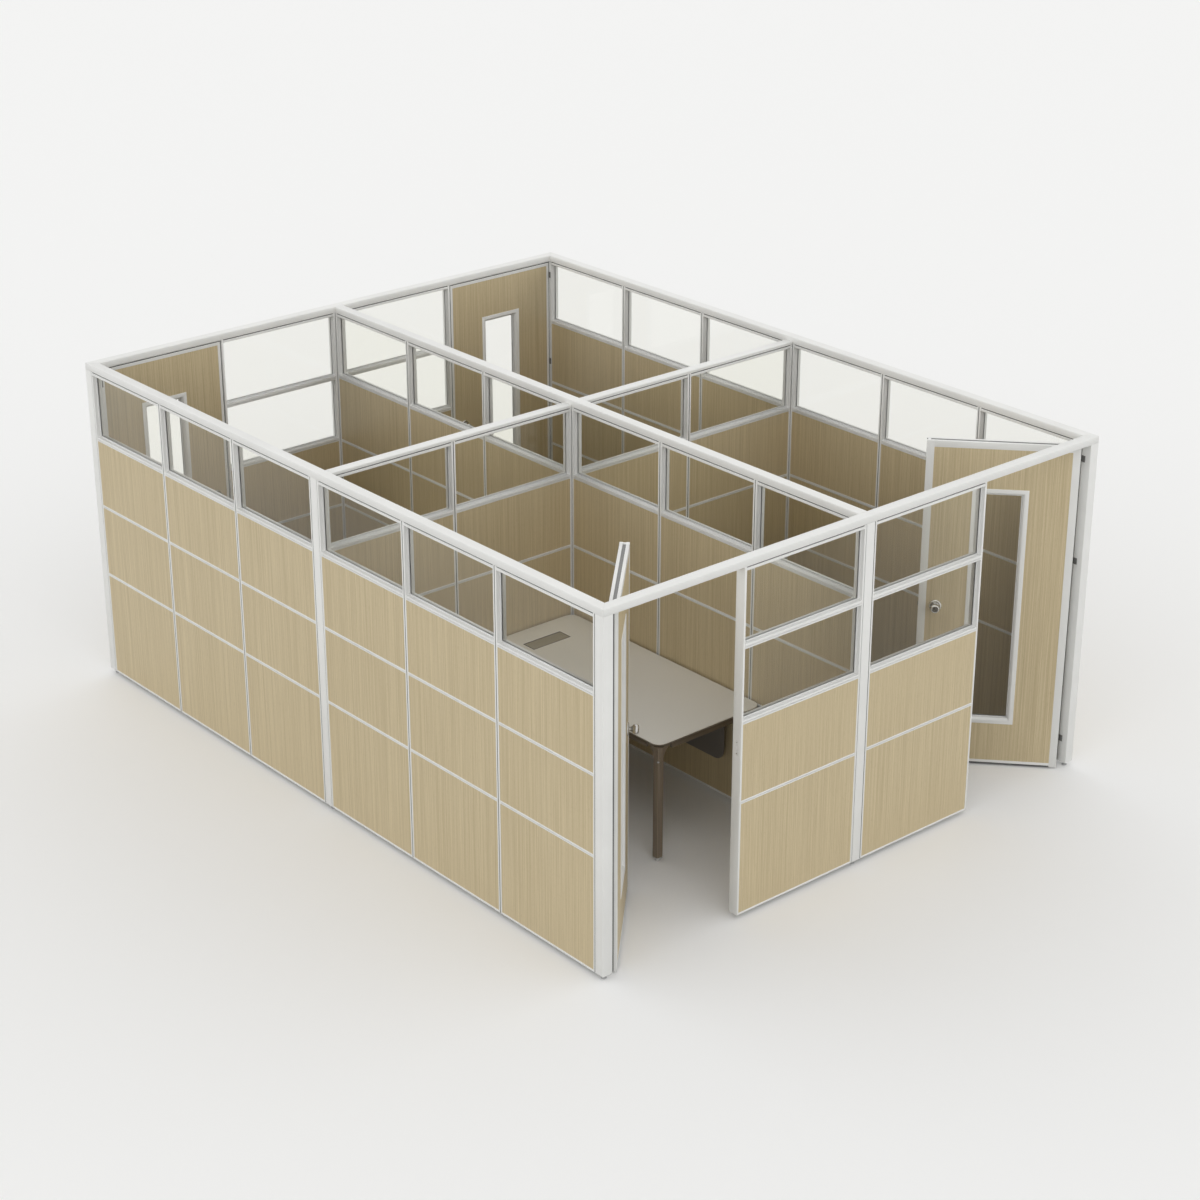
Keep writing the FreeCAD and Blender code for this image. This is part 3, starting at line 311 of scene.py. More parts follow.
def glass_finish(name, tint, shade, index):
    """A clear pane, which dims the light that falls through it."""
    made = Finish(name, tint, 0.0)
    made.tree.nodes.remove(made.shader)
    through = made.mix(made.seen("Is Transmission Ray"), shade, tint)
    clear = made.add("ShaderNodeBsdfTransparent", {"Color": through})
    gloss = made.add("ShaderNodeBsdfGlossy", {"Roughness": 0.02, "Color": (1, 1, 1, 1)})
    facing = made.add("ShaderNodeLayerWeight", {"Blend": 0.5}).outputs["Facing"]
    steep = made.add("ShaderNodeMath", {0: facing, 1: 5.0}, operation="POWER")
    head_on = ((index - 1) / (index + 1)) ** 2
    made.show(made.ramp(steep.outputs["Value"], 0, 1, head_on, 1.0), clear, gloss)
    return made.material


def acrylic_finish(name, colour):
    """Smoke grey sheet that lets a little light through."""
    made = Finish(name, colour, 0.30)
    clear = made.add("ShaderNodeBsdfTransparent", {"Color": (0.7, 0.69, 0.68, 1)})
    made.show(0.85, clear, made.shader)
    made.wear(6.0, 0.26, 0.36)
    return made.material


def metal_finish(name, colour, roughness, grain=(60, 60, 900)):
    """Bare metal with fine drawn lines."""
    made = Finish(name, colour, roughness, {"Metallic": 1.0})
    lines = made.noise(1.0, place=made.stretched(*grain))
    made.rough(made.ramp(lines, 0.3, 0.7, roughness * 0.7, roughness * 1.4))
    made.fleck(colour, 0.92, made.noise(40.0), 0.3, 0.7)
    made.bump(lines, 0.04, 0.0002)
    return made.material


def plastic_finish(name, colour, roughness, speckle=0.93, scale=500.0):
    """Plain moulded or pressed surface with a fine speckle."""
    made = Finish(name, colour, roughness)
    made.fleck(colour, speckle, made.noise(scale))
    made.wear(14.0, roughness - 0.04, roughness + 0.06)
    made.bump(made.noise(scale * 1.6), 0.08, 0.0004)
    return made.material


def clear_plastic_finish(name):
    """Milky clear plastic of the glides."""
    made = Finish(name, (0.90, 0.90, 0.89), 0.15, {"Transmission Weight": 0.3, "IOR": 1.46})
    made.bump(made.noise(300.0), 0.05, 0.0003)
    return made.material


FINISHES = {}


def make_finishes(scene):
    """Makes each finish once, under the name that the pieces ask for."""
    coat, wood, pane = scene.cubicle_frame, scene.cubicle_wood, scene.cubicle_glass
    door, desk = scene.cubicle_door, scene.cubicle_desk
    grain = (wood.light, wood.dark, wood.pore, wood.bands, wood.fibres)
    FINISHES.update(
        coat=coat_finish("white_powder_coat", coat.coat, 0.38),
        # Painted shade: dark for seams, reveals, door rims, latch mouths and door seals
        shade=plastic_finish("painted_shade_strip", coat.shade, 0.6),
        # Painted shade: grey for the joint lines and bead lines
        line=coat_finish("painted_joint_line_shade", coat.joint_line_shade, 0.45),
        # Painted shade: grey for the door channels and seam roundings
        channel=coat_finish("painted_channel_shade", coat.channel, 0.45),
        foot=plastic_finish("grey_foot", (0.72, 0.72, 0.72), 0.5),
        tile=veneer_finish("tile_veneer", *grain),
        leaf=veneer_finish("door_veneer", *grain[:3], wood.bands * 0.8, wood.fibres),
        glass=glass_finish("clear_pane", pane.tint, pane.shade, pane.index),
        bead=plastic_finish("white_glazing_bead", pane.bead_coat, 0.55),
        plate=plastic_finish("dark_steel_plate", door.plate, 0.35, 0.85, 260.0),
        steel=metal_finish("satin_steel", door.steel, 0.32),
        strike=plastic_finish("pale_strike_plate", door.strike, 0.35),
        chrome=metal_finish("polished_chrome", door.chrome, 0.07, (30, 30, 30)),
        clear=clear_plastic_finish("clear_foot"),
        laminate=plastic_finish("desk_laminate", desk.laminate, 0.42, 0.975, 260.0),
        edge=plastic_finish("desk_edge_band", desk.edge, 0.40, 0.97),
        # Painted shade: the bevel's darker copy of the edge band
        bevel=plastic_finish("desk_edge_bevel_shade", desk.bevel, 0.40, 0.97),
        # Painted shade: dark for the desk top's underside and the cable trays
        under=plastic_finish("desk_underside", desk.under, 0.55),
        # Taupe coat of the rails, darkened as painted shade
        rail=coat_finish("rail_coat_painted_shade", desk.rail, 0.45),
        metal=coat_finish("taupe_powder_coat", desk.metal, 0.40),
        # Painted shade: darker coat for the flute bottoms
        groove=coat_finish("painted_flute_shade", desk.groove, 0.40),
        lid=plastic_finish("cable_lid_plastic", desk.lid, 0.45),
        acrylic=acrylic_finish("smoke_acrylic", desk.acrylic),
    )


# Shapes
def closed_shells(node):
    """The solids of a CAD node, each a list of triangles given by their corners."""
    mesh = NODES[node].data
    shells, current, open_edges = [], [], set()
    for face in mesh.polygons:
        corners = [tuple(round(c, 7) for c in mesh.vertices[v].co) for v in face.vertices]
        current.append(corners)
        for i, start in enumerate(corners):
            end = corners[(i + 1) % len(corners)]
            if (end, start) in open_edges:
                open_edges.remove((end, start))
            else:
                open_edges.add((start, end))
        if not open_edges:
            shells.append(current)
            current = []
    if current:
        raise RuntimeError(f"{node} has a shell that does not close")
    return shells


def shell_mesh(triangles):
    """One solid with shared corners and whole flat faces."""
    shape = bmesh.new()
    corners = {}
    for triangle in triangles:
        for corner in triangle:
            if corner not in corners:
                corners[corner] = shape.verts.new(corner)
        shape.faces.new([corners[c] for c in triangle])
    bmesh.ops.dissolve_limit(
        shape, angle_limit=SAME_PLANE, verts=shape.verts[:], edges=shape.edges[:]
    )
    return shape


def soften(shape, radius, segments=2):
    """Rounds every sharp edge a little."""
    sharp = [
        e for e in shape.edges
        if len(e.link_faces) == 2 and e.calc_face_angle(0) > ROUNDED_EDGE
    ]
    if sharp and radius:
        bmesh.ops.bevel(
            shape, geom=sharp, offset=radius, offset_type="OFFSET", segments=segments,
            profile=0.5, affect="EDGES", clamp_overlap=True, material=-1,
        )


def box_round(points):
    """The low and the high corner of a box round some points."""
    points = list(points)
    return tuple(Vector(end(p[i] for p in points) for i in range(3)) for end in (min, max))


def extent(shape):
    return box_round(vertex.co for vertex in shape.verts)


def linked(name, data):
    made = bpy.data.objects.new(name, data)
    bpy.context.scene.collection.objects.link(made)
    return made


def piece(name, shapes, body, finishes, smooth=True, replaces=()):
    """Joins shapes to one object that rides on a body."""
    mesh = bpy.data.meshes.new(name)
    whole = bmesh.new()
    for shape in shapes:
        part = bpy.data.meshes.new("part")
        shape.to_mesh(part)
        shape.free()
        whole.from_mesh(part)
        bpy.data.meshes.remove(part)
    for face in whole.faces:
        face.smooth = smooth
    for edge in whole.edges:
        edge.smooth = len(edge.link_faces) == 2 and edge.calc_face_angle(0) < SHARP_EDGE
    whole.to_mesh(mesh)
    whole.free()
    for finish in finishes:
        mesh.materials.append(FINISHES[finish])
    made = linked(name, mesh)
    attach(made, body)
    if replaces:
        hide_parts(*replaces)
    return made


def dress(node, finish):
    """Gives a CAD node its finish."""
    slots = NODES[node].data.materials
    slots.clear()
    slots.append(FINISHES[finish])


def solids(node):
    """The solids of a CAD node, each a mesh of its own."""
    return [shell_mesh(shell) for shell in closed_shells(node)]


def boxes(node):
    """The box round each solid of a CAD node."""
    return [
        box_round(corner for triangle in shell for corner in triangle)
        for shell in closed_shells(node)
    ]


def finished(node, shapes, body, finishes):
    """Shapes in the place of a CAD node."""
    return piece(node + "_finished", shapes, body, finishes, replaces=[node])


def softened(node, body, finishes, radius):
    """A CAD node again, with rounded edges, in its place."""
    shapes = solids(node)
    for shape in shapes:
        soften(shape, radius)
    return finished(node, shapes, body, finishes)


def cut(shape, axis, level, merge=TOUCH):
    """Cuts the faces of a shape in two at a level along an axis."""
    across = Vector(1.0 if i == axis else 0.0 for i in range(3))
    geometry = shape.verts[:] + shape.edges[:] + shape.faces[:]
    bmesh.ops.bisect_plane(
        shape, geom=geometry, plane_co=across * level, plane_no=across, dist=merge
    )


def draw_out(shape, face, way):
    """Draws a face out along a vector, and gives back what that adds."""
    added = bmesh.ops.extrude_face_region(shape, geom=[face])["geom"]
    points = [item for item in added if isinstance(item, bmesh.types.BMVert)]
    bmesh.ops.translate(shape, verts=points, vec=way)
    return added


def sink(shape, face, depth, index):
    """Sinks a flat face into its shape and paints it."""
    added = draw_out(shape, face, face.normal * -depth)
    bmesh.ops.delete(shape, geom=[face], context="FACES_ONLY")
    for item in added:
        if isinstance(item, bmesh.types.BMFace):
            item.material_index = index


def groove(shape, level, width, depth):
    """Cuts a level line into both broad faces of a rail and paints grey shade into it."""
    low, high = extent(shape)
    for z in (level - width / 2, level + width / 2):
        cut(shape, 2, z)
    thin = 1 if high.x - low.x > high.y - low.y else 0
    bands = [
        face for face in shape.faces
        if abs(face.calc_center_median().z - level) < width / 2
        and abs(face.normal[thin]) > SQUARE_ON
    ]
    for face in bands:
        sink(shape, face, depth, 1)


def recess(shape, axis, side, low, high, depth, index):
    """Sinks a rectangle, given by two corners, into the flat face on one side of a shape."""
    others = [i for i in range(3) if i != axis]
    for along in others:
        for level in (low[along], high[along]):
            cut(shape, along, level)
    for face in shape.faces[:]:
        middle = face.calc_center_median()
        inside = all(low[i] < middle[i] < high[i] for i in others)
        if inside and face.normal[axis] * side > SQUARE_ON:
            sink(shape, face, depth, index)


def placed(shape, matrix):
    """Moves a shape, and keeps its faces outward where the move mirrors it."""
    bmesh.ops.transform(shape, matrix=matrix, verts=shape.verts[:])
    if matrix.determinant() < 0:
        bmesh.ops.reverse_faces(shape, faces=shape.faces[:])
    return shape


def painted(shape, index):
    for face in shape.faces:
        face.material_index = index
    return shape


def block(low, high, radius=0.0, index=0):
    """A straight piece between two corners, its edges rounded."""
    shape = bmesh.new()
    low, high = Vector(low), Vector(high)
    size = Matrix.Diagonal((*(high - low), 1))
    bmesh.ops.create_cube(shape, size=1, matrix=Matrix.Translation((low + high) / 2) @ size)
    soften(shape, radius)
    return painted(shape, index)


def slab(outline, depth, radius=0.0, index=0):
    """A flat outline in XY, drawn out along +Z."""
    shape = bmesh.new()
    face = shape.faces.new([shape.verts.new((x, y, 0)) for x, y in outline])
    draw_out(shape, face, (0, 0, depth))
    bmesh.ops.recalc_face_normals(shape, faces=shape.faces[:])
    soften(shape, radius)
    return painted(shape, index)


def turned(profile, facets, index=0):
    """A side view of radius and height, spun about Z."""
    shape = bmesh.new()
    points = [shape.verts.new((radius, 0, height)) for radius, height in profile]
    lines = [shape.edges.new(pair) for pair in zip(points, points[1:])]
    bmesh.ops.spin(
        shape, geom=points + lines, cent=(0, 0, 0), axis=(0, 0, 1), angle=math.tau,
        steps=facets, use_merge=True,
    )
    bmesh.ops.remove_doubles(shape, verts=shape.verts[:], dist=SPUN_TOUCH)
    bmesh.ops.recalc_face_normals(shape, faces=shape.faces[:])
    return painted(shape, index)


def standing(profile, facets, x, y, z, index=0):
    """A turned piece, drawn in millimetres, at a point of the frame."""
    place = Matrix.Translation((x, y, z)) @ Matrix.Scale(MM, 4)
    return placed(turned(profile, facets, index), place)


def feet(profile, over):
    """A turned foot on the floor, below the middle of each box."""
    return [standing(profile, FOOT_SIDES, *((low + high) / 2).xy, 0) for low, high in over]


def screws(x, y, z, side, lift, index, radius=3.6, proud=0.35, scale=1.0):
    """Two low screw heads, in millimetres, over one another on a face that looks along X."""
    facing = Matrix.Rotation(math.radians(90 * side), 4, "Y") @ Matrix.Scale(scale, 4)
    profile = [
        (0, proud), (radius * 0.6, proud), (radius * 0.95, proud * 0.5), (radius, -proud),
        (0, -proud),
    ]
    places = [Matrix.Translation((x, y, z + up * scale)) for up in (-lift, lift)]
    return [placed(turned(profile, SMALL_SIDES, index), place @ facing) for place in places]


def beads(low, high, lap, line, width):
    """A line painted grey as shade, and then a bead, along the edges of a pane."""
    return strips_round(low, high, lap, line, line / 2, 1) + strips_round(
        low, high, lap + line, width, width, 0
    )


def strips_round(low, high, lap, width, proud, index):
    """Strips along the edges of a pane, on both its faces."""
    thin = 0 if high.x - low.x < high.y - low.y else 1
    wide = 1 - thin
    left, right = low[wide] + lap, high[wide] - lap
    base, top = low.z + lap, high.z - lap
    spans = (
        (left, base, left + width, top), (right - width, base, right, top),
        (left + width, base, right - width, base + width),
        (left + width, top - width, right - width, top),
    )
    strips = []
    for near, far in ((low[thin] - proud, low[thin]), (high[thin], high[thin] + proud)):
        for start, bottom, end, upper in spans:
            one, two = Vector((0, 0, bottom)), Vector((0, 0, upper))
            one[thin], two[thin] = near, far
            one[wide], two[wide] = start, end
            strips.append(block(one, two, index=index))
    return strips


# Door hardware, in millimetres on the leaf: the pin is the origin, the leaf runs
# along +X and its outer face looks to -Y.
PIN, BARREL, PIN_OUT, PLATE = 3.0, 5.4, 6.1, 2.0
HINGE_TALL, HINGE_BACK, HINGE_EDGE_GAP, PLAY = 40.0, -34.1, -11.1, 0.3
HINGE_SCREW, HINGE_SCREW_UP, KNUCKLE_ROOM, PLATE_ROUNDING = HINGE_BACK + 8, 11, 1, 0.25
BARREL_ROUNDING, PIN_SLACK, BOLT_ROUNDING, STRIKE_ROUNDING = 0.6, 0.1, 0.8 * MM, 0.3 * MM
STRIKE_SCREW = (3.4, 0.4)
LEAF_EDGE, LATCH_EDGE, LEAF_MIDDLE, SKIN = -1.1, 888.9, -38.6, 26.5
PANE_LAP, KNOB_BACKSET, PLATE_SCREW_UP = 5.0, 102.0, 33
# The latch's case, front plate and mouth: how far in from the leaf's edge, and half the sizes
CASE_IN, FRONT_IN, FRONT_OUT, LATCH_ROUNDING = 100, 6, 0.4, 0.5
CASE_HALF, FRONT_HALF, MOUTH_HALF, MOUTH_DEEP = (8, 30), (8.4, 45), (6.3, 11.3), 4.0
# The channel in a leaf's edges, painted grey as shade; the rim of a closed leaf, painted dark as
# the shadow of the gap beside it; and the seal below
CHANNEL_BACK, CHANNEL_FRONT, CHANNEL_DEEP, CHANNEL_SLACK, CORNER = -47.1, -30.1, 6.5, 0.3, 0.5
RIM_SHADE, LEAF_TALL, STILE_WIDE = 4.0, 2000.0, 200
SEAL_IN, SEAL_HALF, SEAL_BASE, SEAL_TOP, SEAL_ROUNDING = 24, 23, 9, 18.2, 1.5
# Beyond this height and within this radius the end of a knob is satin
SATIN_FROM, SATIN_WITHIN = 85.5, 18.8
KNOB_VIEW = [
    (0, 86.2), (18.6, 86.3), (19.4, 87.2), (20.4, 87.5), (21.8, 87.0), (25.4, 82.8), (27.3, 79.4),
    (28.0, 75.5), (27.9, 69.5), (27.0, 64.0), (24.6, 58.6), (20.6, 54.0), (16.2, 50.2),
    (12.8, 45.6), (11.3, 40.0), (11.0, 34.9), (6.0, 34.9),
]
ROSE_VIEW = [
    (8.0, 0.0), (37.6, 0.0), (37.8, 1.6), (37.0, 4.0), (34.4, 6.6), (30.5, 7.9), (27.5, 7.6),
    (20.0, 5.0), (14.0, 3.6), (12.6, 4.6), (12.0, 6.0), (8.0, 6.0), (8.0, 0.0),
]
FOOT_VIEW = [
    (0, 0), (14.6, 0), (15.8, 1.2), (16.0, 3.0), (15.2, 5.0), (9.0, 7.5), (6.0, 9.0),
    (5.0, 11.0), (5.0, 30.0), (0, 30.0),
]
GLIDE_VIEW = [
    (0, 0), (14.5, 0), (16.4, 0.8), (17.0, 2.4), (17.0, 12.0), (16.0, 14.0), (0, 14.0),
]
BUTTON_VIEW = [(0, 1.4), (4.0, 1.2), (5.8, 0.4), (6.2, -1.0), (0, -1.0)]
DOT_VIEW = [(0, 0.3), (1.8, 0.25), (2.4, -0.5), (0, -0.5)]


def joint(name):
    return next(j for j in frame["joints"] if j["name"] == name)


def door_places(door):
    """Where a door's own millimetres lie on its leaf, and on its post."""
    hinge = joint(f"door_swing_{door}")
    pin = Vector((*hinge["pos_m"][:2], 0))
    sides = (math.copysign(1, -pin.x), math.copysign(1, -pin.y), 1, 1)
    own = Matrix.Diagonal(sides) @ Matrix.Scale(MM, 4)
    swing = Matrix.Rotation(-math.radians(hinge["range_deg"][0]), 4, Vector(hinge["axis"]))
    place = Matrix.Translation(pin)
    return place @ swing @ own, place @ own


def hinge_levels(door):
    """Heights of a door's three hinges, in millimetres."""
    hinges = boxes(f"door_ironmongery_{door}")[:3]
    return [(low.z + high.z) / 2 / MM for low, high in hinges]


def spindle_place(door):
    """The knobs' own axis along Z, brought to the spindle."""
    low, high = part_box(f"knob_{door}")
    height = (low[2] + high[2]) / 2 / MM
    turn = Matrix.Rotation(math.radians(-90), 4, "X")
    return Matrix.Translation((LATCH_EDGE - KNOB_BACKSET, LEAF_MIDDLE, height)) @ turn


def latch_and_roses(context, door):
    """The latch's case and front plate, and a dished rose on each face."""
    facets = context.scene.cubicle_door.facets
    spindle = spindle_place(door)
    height = spindle.translation.z

    def corners(start, end, half):
        across, up = half
        return (
            (start, LEAF_MIDDLE - across, height - up), (end, LEAF_MIDDLE + across, height + up)
        )

    face = LATCH_EDGE - FRONT_OUT
    front = block(*corners(LATCH_EDGE - FRONT_IN, face, FRONT_HALF), LATCH_ROUNDING, 1)
    # The mouth in the front plate is painted dark as the shade inside it
    recess(front, 0, 1, *corners(0, 0, MOUTH_HALF), MOUTH_DEEP, 3)
    case = corners(LATCH_EDGE - CASE_IN, LATCH_EDGE - FRONT_IN, CASE_HALF)
    shapes = [front, block(*case, LATCH_ROUNDING, 1)]
    shapes += screws(face, LEAF_MIDDLE, height, 1, PLATE_SCREW_UP, 2)
    for side in (1, -1):
        rose = turned(ROSE_VIEW, facets, 2)
        out = Matrix.Translation((0, 0, side * SKIN)) @ Matrix.Diagonal((1, 1, side, 1))
        shapes.append(placed(placed(rose, out), spindle))
    return shapes


# Operators
FLOOR_HALF, SENSOR, CLIP_END = 90, 36, 400
KEY_SIDE, KEY_SPREAD = (-0.45, -0.55, 0.80), math.radians(70)
# Heights by which the pieces of a wall frame are told apart: a stile stands taller than the first
# and a rail lower than the second; then the most that a seam rail and a head bead measure, and the
# least and the most of a sill or middle rail. Seam rails lie between the last two levels.
UPRIGHT, RAIL = 1.0, 0.1
SEAM_RAIL, HEAD_BEAD, SILL, MIDDLE_RAIL = 21 * MM, 23 * MM, 24 * MM, 30 * MM
SEAMS_FROM, SEAMS_TO = 0.1, 1.3
SILL_LINE, NEIGHBOUR_GAP = 12 * MM, 4 * MM
REVEAL_TALL, REVEAL_IN = 7.5 * MM, 2 * MM
# Desks
FLUTE, FLUTE_STEPS, SLEEVE = 1.6 * MM, 8, 9 * MM
BUTTON_LEVEL, BUTTON_IN = 640 * MM, 4.5 * MM
RIDGE_POWER, FLUTE_FLOOR = 0.6, -0.55
SWEEP_STEPS, WING_TIP, WING_ROUNDING, WING_CORNER = 12, 1.5 * MM, 4 * MM, 0.6
RAIL_ROUNDING, PANEL_ROUNDING, TRAY_ROUNDING, DOT_OFF = 1.2 * MM, 1.0 * MM, 0.8 * MM, 8 * MM


class DressOperator:
    bl_options = {"REGISTER", "UNDO"}


class CUBICLE_OT_stage(DressOperator, bpy.types.Operator):
    """Floor, light and camera"""

    bl_idname = "cubicle.stage"
    bl_label = "Stage"

    def execute(self, context):
        stage = context.scene.cubicle_stage
        self.make_floor(stage)
        self.make_world(stage)
        self.make_sun(stage.key)
        self.make_camera(context, stage)
        context.scene.view_settings.view_transform = "Standard"
        return {"FINISHED"}

    def make_floor(self, stage):
        shape = bmesh.new()
        bmesh.ops.create_grid(shape, x_segments=1, y_segments=1, size=FLOOR_HALF)
        mesh = bpy.data.meshes.new("floor")
        shape.to_mesh(mesh)
        shape.free()
        floor = linked("floor", mesh)
        finish = Finish("pale_floor", stage.floor, 0.9)
        seen = finish.seen("Is Transmission Ray")
        finish.colour(finish.mix(seen, stage.bounce, stage.floor))
        mesh.materials.append(finish.material)

    def make_world(self, stage):
        world = bpy.data.worlds.new("soft_sky")
        bpy.context.scene.world = world
        sky = Nodes(world)
        upward = sky.add("ShaderNodeTexCoord").outputs["Generated"]
        height = sky.add("ShaderNodeSeparateXYZ", {"Vector": upward}).outputs["Z"]
        fade = sky.ramp(height, stage.even, 1.0, stage.horizon, stage.zenith)
        light = sky.tree.nodes["Background"]
        sky.feed(light, {"Color": (1, 1, 1, 1), "Strength": fade})
        backdrop = sky.add("ShaderNodeBackground", {"Color": linear(stage.backdrop)})
        sky.show(sky.seen(), light, backdrop)

    def make_sun(self, strength):
        lamp = bpy.data.lights.new("key_sun", "SUN")
        lamp.energy = strength
        lamp.angle = KEY_SPREAD
        turned_to = Vector(KEY_SIDE).to_track_quat("Z", "Y")
        linked("key_sun", lamp).rotation_euler = turned_to.to_euler()

    def make_camera(self, context, stage):
        camera = bpy.data.cameras.new("camera")
        camera.lens = stage.lens
        camera.sensor_width = SENSOR
        camera.clip_end = CLIP_END
        made = linked("camera", camera)
        made.location = stage.eye
        made.rotation_euler = (math.pi / 2 - stage.dip, 0, stage.heading)
        context.scene.camera = made


class CUBICLE_OT_wall_frames(DressOperator, bpy.types.Operator):
    """Stiles and rails of the wall panels, with the joint lines of their tiles, and painted shade
    in their grooves, seams and reveals
    """

    bl_idname = "cubicle.wall_frames"
    bl_label = "Wall Frames"

    def execute(self, context):
        coat = context.scene.cubicle_frame
        uprights = []
        for node in [f"{wall}_wall_frames" for wall in WALLS] + ["corner_posts", "junction_posts"]:
            uprights += [box for box in boxes(node) if box[1].z - box[0].z > UPRIGHT]
        for wall in WALLS:
            node = f"{wall}_wall_frames"
            shapes = solids(node)
            extents = [extent(shape) for shape in shapes]
            run = 1 if wall in ("left", "right", "spine") else 0
            rail_starts = [low[run] for low, high in extents if high.z - low.z < RAIL]
            for shape, (low, high) in zip(shapes, extents):
                tall = high.z - low.z
                soften(shape, coat.seam if tall > UPRIGHT else coat.edge)
                if tall > UPRIGHT:
                    side = -1 if any(abs(start - high[run]) < MM for start in rail_starts) else 1
                    # Painted shade in the seam between neighbouring uprights
                    if self.has_neighbour(uprights, low, high, run, side):
                        self.paint_seam_shade(shape, run, side)
                elif tall < SEAM_RAIL and low.z > SEAMS_FROM and high.z < SEAMS_TO:
                    groove(shape, (low.z + high.z) / 2, coat.line, coat.line_depth)
                elif SILL < tall < MIDDLE_RAIL:
                    groove(shape, low.z + SILL_LINE, coat.line, coat.line_depth)
                elif SEAM_RAIL < tall < HEAD_BEAD:
                    self.paint_reveal_shade(shape, low, high, 1 - run)
            finished(node, shapes, ROOT, ["coat", "line", "shade", "channel"])
        return {"FINISHED"}

    def has_neighbour(self, uprights, low, high, run, side):
        """Whether another upright stands close beside this one."""
        across, level = 1 - run, (high if side > 0 else low)[run]
        return any(
            0 <= ((start if side > 0 else end)[run] - level) * side < NEIGHBOUR_GAP
            and start[across] < high[across] and end[across] > low[across]
            for start, end in uprights
        )

    def paint_seam_shade(self, shape, run, side):
        """Paints shade on the side of a stile that meets its neighbour: dark on the side, grey on
        its rounding.
        """
        for face in shape.faces:
            if face.normal[run] * side > FLAT_ON:
                face.material_index = 2
            elif face.normal[run] * side > TURNED:
                face.material_index = 3

    def paint_reveal_shade(self, shape, low, high, across):
        """Paints shade into the gap over a glazing bead."""
        for face in shape.faces:
            middle = face.calc_center_median()
            sunk = low[across] + REVEAL_IN < middle[across] < high[across] - REVEAL_IN
            level = middle.z > high.z - REVEAL_TALL
            if sunk and level and abs(face.normal[across]) > SIDEWAYS:
                face.material_index = 2


class CUBICLE_OT_posts_and_caps(DressOperator, bpy.types.Operator):
    """Posts, caps and levelling feet"""

    bl_idname = "cubicle.posts_and_caps"
    bl_label = "Posts and Caps"

    def execute(self, context):
        coat = context.scene.cubicle_frame
        for node in ("corner_posts", "junction_posts", "perimeter_cap", "spine_cap", "cross_caps"):
            softened(node, ROOT, ["coat"], coat.edge)
        shapes = feet(FOOT_VIEW, boxes("levelling_feet"))
        finished("levelling_feet", shapes, ROOT, ["foot"])
        return {"FINISHED"}


class CUBICLE_OT_wall_tiles(DressOperator, bpy.types.Operator):
    """Wood-faced tiles"""

    bl_idname = "cubicle.wall_tiles"
    bl_label = "Wall Tiles"

    def execute(self, context):
        for wall in WALLS:
            dress(f"{wall}_wall_tiles", "tile")
        return {"FINISHED"}


class CUBICLE_OT_wall_glass(DressOperator, bpy.types.Operator):
    """Panes of the walls"""

    bl_idname = "cubicle.wall_glass"
    bl_label = "Wall Glass"

    def execute(self, context):
        dress("wall_glass", "glass")
        glass = context.scene.cubicle_glass
        strips = []
        for low, high in boxes("wall_glass"):
            strips += beads(low, high, 0.0, glass.bead_line, glass.bead)
        piece("wall_gaskets", strips, ROOT, ["bead", "line"], smooth=False)
        return {"FINISHED"}


